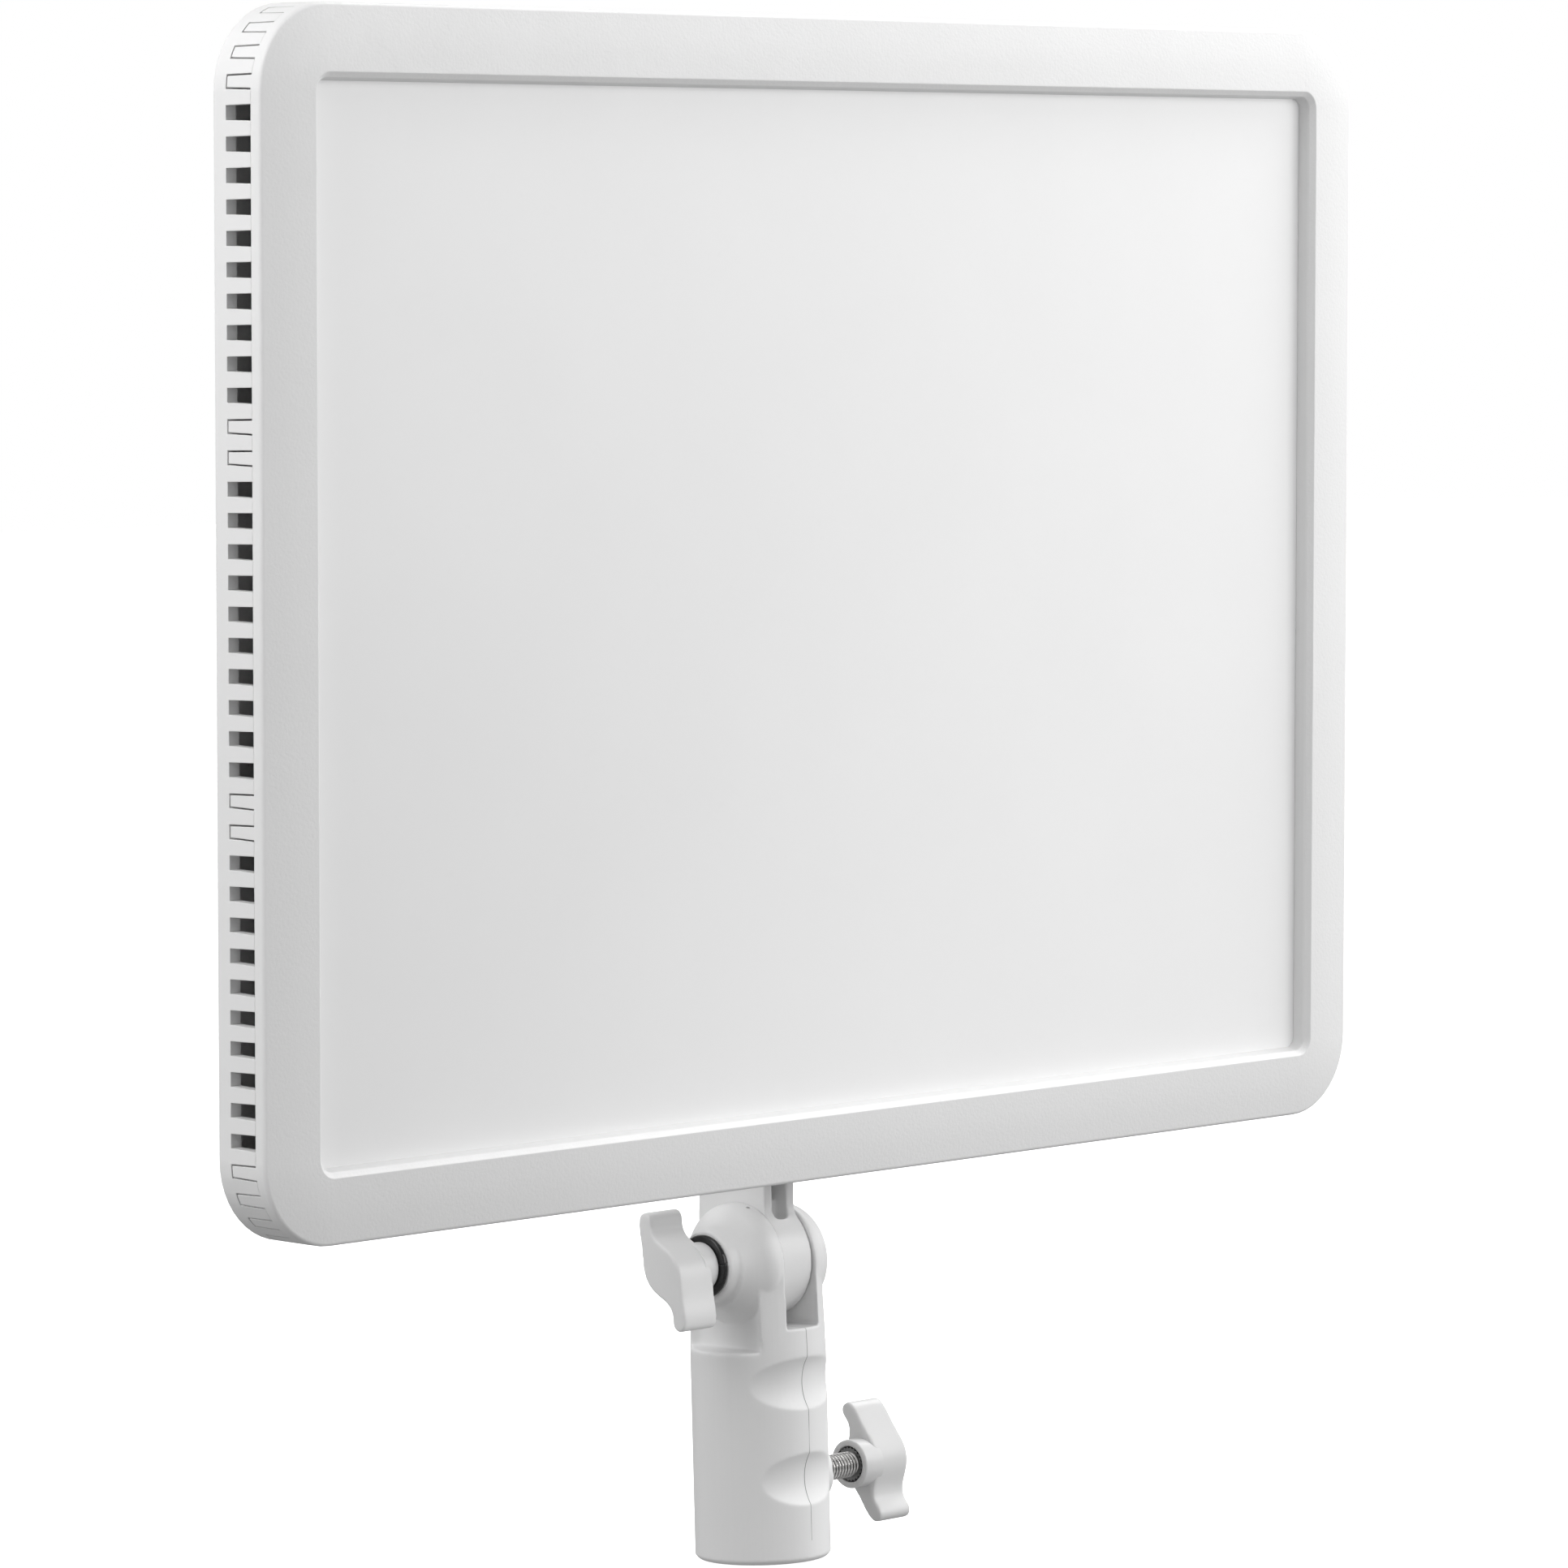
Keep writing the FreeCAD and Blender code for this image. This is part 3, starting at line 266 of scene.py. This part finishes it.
def receiver_seam_and_shade(t, colour):
    """Seam, and a small dent on top of the left ear painted dark as shade where the gap between ear and neck
    begins.
    """
    colour, groove = parting_seam(t, colour)
    node = t.nodes.new("ShaderNodeVectorMath")
    node.operation = "DISTANCE"
    t.links.new(t.place, node.inputs[0])
    node.inputs[1].default_value = GAP_SHADE_AT
    dent_and_painted_shade = t.spread(node.outputs["Value"], 0.25 * MM, 0.6 * MM, 1.0, 0.0)
    # the dark spot is painted shade where the ear's gap to the neck begins; the dent is a bump
    return t.blend(t.math("MULTIPLY", dent_and_painted_shade, 0.8), colour, grey(0.12)), t.math(
        "SUBTRACT", groove, dent_and_painted_shade)


def metal(name, shade, rough, grain, depth, groove=None):
    """Plated or turned metal with fine machining marks and small stains.
    groove(tree) is 1 in grooves, which are painted near black as painted shade."""
    t = Tree(name)
    stain = t.noise(3 * MM, 4.0, 0.6)
    dark = tuple(c * 0.72 for c in shade) + (1.0,)
    colour = t.blend(t.spread(stain, 0.35, 0.75, 0.0, 1.0), tuple(shade) + (1.0,), dark)
    if groove:
        # grooves painted near black: painted shade in the thread's hollows
        colour = t.blend(groove(t), colour, grey(0.015))
    t.links.new(colour, t.shader.inputs["Base Color"])
    t.shader.inputs["Metallic"].default_value = 1.0
    t.links.new(t.spread(t.noise(0.8 * MM, 3.0), 0.3, 0.7, rough * 0.7, rough * 1.35),
                t.shader.inputs["Roughness"])
    rounded, _ = t.soft_edge(0.15 * MM)
    t.links.new(t.bump(t.noise(grain, 2.0), depth, 1.0, rounded), t.shader.inputs["Normal"])
    return t


def thread_root_shade(t):
    """1 at the root of the lock screw's thread, 0 at its crest; the roots are painted near black as shade."""
    _, y, z = t.apart(t.place)
    up = t.math("SUBTRACT", z, LOCK_Z)
    r = t.math("SQRT", t.math("ADD", t.math("MULTIPLY", y, y), t.math("MULTIPLY", up, up)))
    return t.spread(r, THREAD_ROOT + 0.12 * MM, THREAD_R - 0.08 * MM, 1.0, 0.0)


def plain_stage(name, shade, glow):
    t = Tree(name)
    cloud = t.noise(0.5, 2.0)
    t.links.new(t.blend(cloud, grey(shade - 0.01), grey(shade)), t.shader.inputs["Base Color"])
    t.shader.inputs["Roughness"].default_value = 0.9
    t.shader.inputs["Emission Color"].default_value = grey(1.0)
    t.shader.inputs["Emission Strength"].default_value = glow
    return t.material


# ---- camera, floor and light ---------------------------------------------------------
def place_camera():
    yaw, pitch, roll = (math.radians(a) for a in (CAMERA_YAW, CAMERA_PITCH, CAMERA_ROLL))
    ahead = Vector((math.sin(yaw) * math.cos(pitch), math.cos(yaw) * math.cos(pitch),
                    math.sin(pitch)))
    side = Vector((math.cos(yaw), -math.sin(yaw), 0.0))
    above = side.cross(ahead)
    right = math.cos(roll) * side + math.sin(roll) * above
    up = math.cos(roll) * above - math.sin(roll) * side
    camera = bpy.data.objects.new("camera", bpy.data.cameras.new("camera"))
    camera.data.lens = CAMERA_LENS
    camera.data.sensor_width = 36.0
    camera.data.clip_start, camera.data.clip_end = 0.01, 60.0
    turn = Matrix((right, up, -ahead)).transposed().to_4x4()
    camera.matrix_world = Matrix.Translation(CAMERA_AT) @ turn
    bpy.context.scene.collection.objects.link(camera)
    bpy.context.scene.camera = camera


def softbox(name, turn, height, power, aim, away, size):
    """Square soft light. turn: degrees round from straight in front, towards +X;
    height: degrees above the horizon; away: metres from the point aimed at."""
    a, e = math.radians(turn), math.radians(height)
    light = bpy.data.lights.new(name, "AREA")
    light.size = size
    light.energy = power
    lamp = bpy.data.objects.new(name, light)
    out = Vector((math.sin(a) * math.cos(e), -math.cos(a) * math.cos(e), math.sin(e)))
    lamp.location = Vector(aim) + out * away
    lamp.rotation_euler = (-out).to_track_quat("-Z", "Y").to_euler()
    lamp.visible_camera = False
    bpy.context.scene.collection.objects.link(lamp)


def snoot(name, turn, height, power, aim, away, spread):
    """Narrow soft-edged spot; spread: degrees across."""
    a, e = math.radians(turn), math.radians(height)
    light = bpy.data.lights.new(name, "SPOT")
    light.energy, light.shadow_soft_size = power, 0.12
    light.spot_size, light.spot_blend = math.radians(spread), 0.8
    lamp = bpy.data.objects.new(name, light)
    out = Vector((math.sin(a) * math.cos(e), -math.cos(a) * math.cos(e), math.sin(e)))
    lamp.location = Vector(aim) + out * away
    lamp.rotation_euler = (-out).to_track_quat("-Z", "Y").to_euler()
    bpy.context.scene.collection.objects.link(lamp)


def light_studio():
    snoot("on_receiver", 30, 36, 15.0, (0.0, -0.01, 0.036), 1.2, 9.0)
    for i, (turn, height, power) in enumerate(FAR_LIGHTS):
        softbox(f"far_{i}", turn, height, power, FAR_AIM, FAR_AWAY, FAR_SIZE)
    for i, (turn, height, power, x) in enumerate(NEAR_LIGHTS):
        softbox(f"near_{i}", turn, height, power, (x, 0.0, NEAR_Z), NEAR_AWAY, NEAR_SIZE)
    bpy.context.scene.view_settings.view_transform = "Standard"


def surround():
    """White paper all round; it lights the object less than it shows."""
    world = bpy.data.worlds.new("studio")
    world.use_nodes = True
    nodes, links = world.node_tree.nodes, world.node_tree.links
    paper = nodes["Background"]
    paper.inputs["Color"].default_value = grey(1.0)
    seen = nodes.new("ShaderNodeLightPath").outputs["Is Camera Ray"]
    strength = nodes.new("ShaderNodeMapRange")
    for socket, value in zip(list(strength.inputs)[1:5], (0.0, 1.0, AMBIENT, 1.0)):
        socket.default_value = value
    links.new(seen, strength.inputs[0])
    links.new(strength.outputs[0], paper.inputs["Strength"])
    bpy.context.scene.world = world


def lay_floor():
    mesh = bpy.data.meshes.new("floor")
    form = bmesh.new()
    bmesh.ops.create_grid(form, x_segments=8, y_segments=8, size=12.0)
    form.to_mesh(mesh)
    form.free()
    floor = bpy.data.objects.new("floor", mesh)
    floor.location.z = -0.2 * MM
    bpy.context.scene.collection.objects.link(floor)
    mesh.materials.append(plain_stage("floor_paint", 0.92, 0.8))
    floor.visible_diffuse = floor.visible_glossy = False


# ---- finishes ------------------------------------------------------------------------
def dress(node, material):
    """Put a material on every slot of a CAD node."""
    slots = frame["nodes"][node].data.materials
    for i in range(len(slots)):
        slots[i] = material
    if not slots:
        slots.append(material)


def in_panel(x, y, z):
    """Row frame place of a point of the panel frame, given in mm."""
    lean = math.radians(LEAN)
    y, z = (y - PIVOT_IN_PANEL[0]) * MM, (z - PIVOT_IN_PANEL[1]) * MM
    return Vector((x * MM, y * math.cos(lean) - z * math.sin(lean),
                   PIVOT_Z + y * math.sin(lean) + z * math.cos(lean)))


def finishes():
    return {
        "white_plastic": moulded("white_plastic", 0.80, 0.46, 0.85 * MM, 0.045 * MM,
                                 pebbled=on_face).material,
        "receiver_plastic": moulded("receiver_plastic", 0.82, 0.42, 0.30 * MM, 0.004 * MM,
                                    round_by_node=False, finish=receiver_seam_and_shade).material,
        "arm_plastic": moulded("arm_plastic", 0.82, 0.42, 0.30 * MM, 0.004 * MM,
                               round_by_node=False).material,
        "knob_plastic": moulded("knob_plastic", 0.80, 0.36, 0.30 * MM, 0.003 * MM,
                                round_by_node=False).material,
        # lock knob's plastic: a darker copy of the knob plastic, painted shade for less light on the lock knob
        "lock_plastic_shaded": moulded("lock_plastic_shaded", 0.72, 0.36, 0.30 * MM, 0.003 * MM,
                                round_by_node=False).material,
        "diffuser": moulded("diffuser", 0.885, 0.38, 0.25 * MM, 0.002 * MM).material,
        "clear_acrylic": moulded("clear_acrylic", 0.9, 0.1, 5 * MM, 0.001 * MM).material,
        "film": moulded("film", 0.85, 0.6, 0.4 * MM, 0.002 * MM).material,
        # black tray inside the housing; its near-black also stands in for the shade inside the vent slots: painted
        # shade
        "black_aluminium": moulded("black_aluminium", 0.035, 0.5, 0.3 * MM, 0.004 * MM,
                                   tint=0.008).material,
        "steel": metal("steel", (0.66, 0.65, 0.64), 0.2, 0.12 * MM, 0.0006 * MM).material,
        "thread_steel": metal("thread_steel", (0.80, 0.79, 0.78), 0.20, 0.5 * MM,
                              0.0003 * MM, groove=thread_root_shade).material,
        "knurl_steel": metal("knurl_steel", (0.30, 0.30, 0.30), 0.40, 0.25 * MM,
                             0.002 * MM).material,
        "black_steel": metal("black_steel", (0.06, 0.06, 0.06), 0.35, 0.2 * MM,
                             0.001 * MM).material,
        "brass": metal("brass", (0.72, 0.53, 0.25), 0.28, 0.15 * MM, 0.001 * MM).material,
        "washer_black": moulded("washer_black", 0.012, 0.22, 0.3 * MM, 0.003 * MM,
                                tint=0.004).material,
        "circuit_board": moulded("circuit_board", 0.05, 0.4, 0.4 * MM, 0.004 * MM,
                                 tint=0.01).material,
        "led_board": moulded("led_board", 0.7, 0.4, 0.4 * MM, 0.004 * MM).material,
        "led_emitter": moulded("led_emitter", 0.7, 0.3, 0.4 * MM, 0.004 * MM).material,
        "component_black": moulded("component_black", 0.03, 0.5, 0.3 * MM, 0.004 * MM,
                                   tint=0.008).material,
        "lead_insulation": moulded("lead_insulation", 0.5, 0.45, 0.5 * MM,
                                   0.004 * MM).material,
        "screen_black": moulded("screen_black", 0.01, 0.2, 1 * MM, 0.001 * MM,
                                tint=0.002).material,
        "window": moulded("window", 0.02, 0.08, 4 * MM, 0.001 * MM, tint=0.004).material,
        "dial_grey": moulded("dial_grey", 0.30, 0.42, 0.3 * MM, 0.004 * MM).material,
        "button_grey": moulded("button_grey", 0.38, 0.42, 0.3 * MM, 0.004 * MM).material,
    }


def dress_nodes(made):
    for part in frame["record"]["subparts"]:
        dress(part["node"], made[part["material_slot"]])


# ---- pieces --------------------------------------------------------------------------
def baked(obj):
    """Apply every modifier of obj to its mesh."""
    seen = obj.evaluated_get(bpy.context.evaluated_depsgraph_get())
    mesh = bpy.data.meshes.new_from_object(seen)
    obj.modifiers.clear()
    obj.data = mesh
    for face in mesh.polygons:
        face.use_smooth = True
    return obj


def new_piece(name, mesh, material):
    obj = bpy.data.objects.new(name, mesh)
    bpy.context.scene.collection.objects.link(obj)
    mesh.materials.clear()
    mesh.materials.append(material)
    for face in mesh.polygons:
        face.use_smooth = True
    return obj


def melted(name, mesh, material, voxel, passes):
    """A closed mesh skinned again in voxels, its edges softened as a moulding's are."""
    obj = new_piece(name, mesh, material)
    skin = obj.modifiers.new("skin", "REMESH")
    skin.mode = "VOXEL"
    skin.voxel_size = voxel
    soften = obj.modifiers.new("soften", "SMOOTH")
    soften.factor = 0.5
    soften.iterations = passes
    baked(obj)
    obj.data.materials.clear()
    obj.data.materials.append(material)
    return obj


def closed_spline(points, count):
    """count points on the smooth closed curve through the given 2-D points."""
    p = np.array(points, float)
    step = np.linalg.norm(np.roll(p, -1, 0) - p, axis=1)
    n = len(p)
    system, right = np.zeros((n, n)), np.zeros((n, 2))
    for i in range(n):
        before, after = step[i - 1], step[i]
        system[i, i - 1], system[i, i], system[i, (i + 1) % n] = after, 2 * (
            before + after), before
        right[i] = 3 * (after * (p[i] - p[i - 1]) / before
                        + before * (p[(i + 1) % n] - p[i]) / after)
    slope = np.linalg.solve(system, right)
    start = np.concatenate([[0], np.cumsum(step)])
    made = []
    for s in np.linspace(0, start[-1], count, endpoint=False):
        i = min(np.searchsorted(start, s, "right") - 1, n - 1)
        t, h, j = (s - start[i]) / step[i], step[i], (i + 1) % n
        made.append((2 * t ** 3 - 3 * t ** 2 + 1) * p[i] + (t ** 3 - 2 * t ** 2 + t) * h
                    * slope[i] + (3 * t ** 2 - 2 * t ** 3) * p[j]
                    + (t ** 3 - t ** 2) * h * slope[j])
    return made


def prism(form, outline, x0, x1):
    """Closed prism along X from a (y, z) outline, added to a bmesh."""
    rings = [[form.verts.new((x, y, z)) for y, z in outline] for x in (x0, x1)]
    n = len(outline)
    for i in range(n):
        j = (i + 1) % n
        form.faces.new((rings[0][i], rings[0][j], rings[1][j], rings[1][i]))
    form.faces.new(rings[0][::-1])
    form.faces.new(rings[1])


def done(form, name):
    bmesh.ops.recalc_face_normals(form, faces=form.faces)
    mesh = bpy.data.meshes.new(name)
    form.to_mesh(mesh)
    form.free()
    return mesh


WING_SIDE = [(6.9, 11.6), (6.5, 7.0), (6.05, 2.8), (5.45, -0.9), (3.6, -3.8), (0.4, -5.9),
             (-2.1, -7.6), (-3.2, -9.5)]
WING_TIP, WING_TIP_R = (5.15, 11.6), 1.75
COLLAR_R, WING_T = 5.8 * MM, 10.9 * MM
TILT_COLLAR = (2.35 * MM, 0.3 * MM)      # length of the collar, depth of its recess
LOCK_COLLAR = (4.0 * MM, 0.5 * MM)
SWELL = 0.22                 # outline drawn this much fuller (mm), as softening shrinks it


def wing_points():
    """Whole outline of the wings, (along Y, along Z), a little fuller than it ends up."""
    half = list(WING_SIDE)
    for degrees in (180, 135, 90, 45):
        a = math.radians(degrees)
        half.append((-WING_TIP[0] - WING_TIP_R * math.cos(a),
                     -WING_TIP[1] - WING_TIP_R * math.sin(a)))
    points = np.array(closed_spline(half + [(-y, -z) for y, z in half], 200))
    along = np.roll(points, -1, 0) - np.roll(points, 1, 0)
    out = np.stack([along[:, 1], -along[:, 0]], 1) / np.linalg.norm(along, axis=1)[:, None]
    if (out * points).sum() < 0:
        out = -out
    return (points + out * SWELL) * MM


def lathe(form, profile, around=72, centre_z=0.0):
    """Turned ring about the X axis from a closed chain of (x, radius)."""
    rings = []
    for i in range(around):
        a = 2 * math.pi * i / around
        rings.append([form.verts.new((x, r * math.cos(a), centre_z + r * math.sin(a)))
                      for x, r in profile])
    n = len(profile)
    for i in range(around):
        low, high = rings[i], rings[(i + 1) % around]
        for j in range(n):
            k = (j + 1) % n
            form.faces.new((low[j], low[k], high[k], high[j]))


def collar_profile(length, recess):
    """Collar from its face at X = 0 back into the wings, with a rounded rim."""
    edge, inner = 0.45 * MM, 4.3 * MM
    rim = []
    for k in range(6):
        a = math.radians(18 * k)
        rim.append((-edge + edge * math.cos(a), COLLAR_R - edge + edge * math.sin(a)))
    return [(-recess, inner), (-0.15 * MM, inner), (0.0, inner + 0.15 * MM)] + rim + [
        (-length - 2 * MM, COLLAR_R), (-length - 2 * MM, inner)]


def make_knob(name, node, body, place, material, collar, recess):
    """Wing knob about X: collar face at X = 0, soft wings beyond it towards -X."""
    form = bmesh.new()
    prism(form, wing_points(), -collar - WING_T, -collar)
    mesh = done(form, name)
    wings = melted(name, mesh, material, 0.30 * MM, 34)
    form = bmesh.new()
    form.from_mesh(wings.data)
    ring = bmesh.new()
    lathe(ring, collar_profile(collar, recess))
    form.from_mesh(done(ring, name + "_collar"))
    for face in form.faces:
        face.smooth = True
    form.to_mesh(wings.data)
    form.free()
    wings.data.transform(place)
    crease(wings, 60)
    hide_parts(node)
    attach(wings, body)


def lock_place():
    turn = Matrix.Rotation(math.radians(LOCK_TURN), 4, "X") @ Matrix.Rotation(
        math.pi, 4, "Z")
    return Matrix.Translation((COLLAR_X, 0, LOCK_Z)) @ turn


def soften_where(obj, weight, passes):
    """Smooth obj more where weight(point) is near 1."""
    group = obj.vertex_groups.new(name="soft")
    for vertex in obj.data.vertices:
        w = weight(vertex.co)
        if w > 0.01:
            group.add([vertex.index], w, "REPLACE")
    soften = obj.modifiers.new("soften", "SMOOTH")
    soften.factor, soften.iterations, soften.vertex_group = 0.5, passes, "soft"
    baked(obj)


def near_shoulder(p):
    """Shoulders under the ears, where the moulding is rounded most."""
    side = min(1.0, max(0.0, (abs(p.x) - 8.5 * MM) / (1.5 * MM)))
    return side * max(0.0, 1.0 - ((p.z - SHOULDER_Z) / (3.2 * MM)) ** 2)


def clear_hole(mesh):
    """Keep the lock screw's hole as wide as its thread needs; skinning narrows it."""
    for vertex in mesh.vertices:
        p = vertex.co
        off = math.hypot(p.y, p.z - LOCK_Z)
        if p.x > 0 and 0.5 * MM < off < LOCK_HOLE_R:
            p.y *= LOCK_HOLE_R / off
            p.z = LOCK_Z + (p.z - LOCK_Z) * LOCK_HOLE_R / off


def make_receiver(made):
    mesh = frame["nodes"]["stand_receiver"].data.copy()
    piece = melted("receiver_moulding", mesh, made["receiver_plastic"], 0.33 * MM, 4)
    soften_where(piece, near_shoulder, 40)
    clear_hole(piece.data)
    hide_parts("stand_receiver")
    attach(piece, "receiver")


# step inside the neck's pocket: opposite corners in the panel's own frame, mm
POCKET_STEP = (-2.7, 26.2, -147.0), (2.7, 33.4, -140.9)


def make_arm(made):
    form = bmesh.new()
    form.from_mesh(frame["nodes"]["tilt_arm"].data)
    block = bmesh.ops.create_cube(form, size=1.0)["verts"]
    for v in block:
        v.co = in_panel(*[a if c < 0 else b for a, b, c in zip(*POCKET_STEP, v.co)])
    mesh = bpy.data.meshes.new("arm")
    form.to_mesh(mesh)
    form.free()
    piece = melted("arm_moulding", mesh, made["arm_plastic"], 0.40 * MM, 4)
    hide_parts("tilt_arm")
    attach(piece, "head")


THREAD_R, THREAD_ROOT, PITCH = 3.03 * MM, 2.45 * MM, 1.0 * MM
THREAD_X = 10.95 * MM        # inner end of the lock screw's thread
KNURL_TIP, KNURL_ROOT, KNURL_TEETH = 4.18 * MM, 3.7 * MM, 24
KNURL_FROM, KNURL_TO = 0.12 * MM, 6.9 * MM      # from the face of the lock knob's collar


def make_thread(made):
    """Right-handed M6 thread from the receiver out to the lock knob, and its knurled head."""
    form = bmesh.new()
    x0, x1, around, per_turn = THREAD_X, COLLAR_X + 1 * MM, 48, 12
    rows = int((x1 - x0) / PITCH * per_turn)
    grid = []
    for i in range(rows + 1):
        x = x0 + (x1 - x0) * i / rows
        ring = []
        for j in range(around):
            a = 2 * math.pi * j / around
            phase = (x / PITCH - a / (2 * math.pi)) % 1.0
            rise = min(1.0, max(0.0, 1.22 - 2.6 * abs(phase - 0.5)))
            r = THREAD_ROOT + (THREAD_R - THREAD_ROOT) * rise
            ring.append(form.verts.new((x, r * math.cos(a), r * math.sin(a) + LOCK_Z)))
        grid.append(ring)
    for low, high in zip(grid, grid[1:]):
        for j in range(around):
            k = (j + 1) % around
            form.faces.new((low[j], low[k], high[k], high[j]))
    form.faces.new(grid[0][::-1])
    form.faces.new(grid[-1])
    teeth = []
    for i in range(2 * KNURL_TEETH):
        r, a = (KNURL_TIP if i % 2 else KNURL_ROOT), math.pi * i / KNURL_TEETH
        teeth.append((r * math.cos(a), r * math.sin(a) + LOCK_Z))
    turned = len(form.faces)
    prism(form, teeth, COLLAR_X + KNURL_FROM, COLLAR_X + KNURL_TO)
    screw = new_piece("lock_screw_thread", done(form, "lock_screw_thread"),
                      made["thread_steel"])
    screw.data.materials.append(made["knurl_steel"])
    for face in screw.data.polygons[turned:]:
        face.material_index = 1
    crease(screw)
    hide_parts("lock_screw")
    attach(screw, "lock_knob")


def crease(obj, degrees=35):
    """Keep edges sharper than this angle crisp."""
    obj.data.set_sharp_from_angle(angle=math.radians(degrees))


WASHER_GAP, WASHER_FACING = math.radians(1.2), math.radians(172)   # half width, direction


def make_washer(material):
    """Split ring washer with rounded edges; its gap faces forward."""
    form = bmesh.new()
    low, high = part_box("knob_washer")
    inner, outer, edge = 3.1 * MM, high.y - 0.03 * MM, 0.45 * MM
    x0, x1 = low.x + 0.02 * MM, high.x - 0.02 * MM
    section = []
    for cx, cr, start in ((x1 - edge, outer - edge, 0), (x0 + edge, outer - edge, 90),
                          (x0 + edge, inner + edge, 180), (x1 - edge, inner + edge, 270)):
        for k in range(5):
            a = math.radians(start + 22.5 * k)
            section.append((cx + edge * math.cos(a), cr + edge * math.sin(a)))
    rings, gap, facing, steps = [], WASHER_GAP, WASHER_FACING, 150
    for i in range(steps + 1):
        a = facing + gap + (2 * math.pi - 2 * gap) * i / steps
        rings.append([form.verts.new((x, r * math.cos(a), PIVOT_Z + r * math.sin(a)))
                      for x, r in section])
    n = len(section)
    for low, high in zip(rings, rings[1:]):
        for j in range(n):
            k = (j + 1) % n
            form.faces.new((low[j], low[k], high[k], high[j]))
    form.faces.new(rings[0][::-1])
    form.faces.new(rings[-1])
    ring = new_piece("washer_ring", done(form, "washer_ring"), material)
    crease(ring, 50)
    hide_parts("knob_washer")
    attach(ring, "tilt_washer")


def make_pieces(made):
    make_receiver(made)
    make_arm(made)
    tilt_place = Matrix.Translation((TILT_COLLAR_X, 0, PIVOT_Z))
    make_knob("tilt_knob_wings", "tilt_knob", "tilt_knob", tilt_place,
              made["knob_plastic"], *TILT_COLLAR)
    make_knob("lock_knob_wings", "lock_knob", "lock_knob", lock_place(),
              made["lock_plastic_shaded"], *LOCK_COLLAR)
    make_thread(made)
    make_washer(made["washer_black"])


# ---- whole scene ---------------------------------------------------------------------
place_camera()
light_studio()
surround()
lay_floor()
MADE = finishes()
dress_nodes(MADE)
make_pieces(MADE)
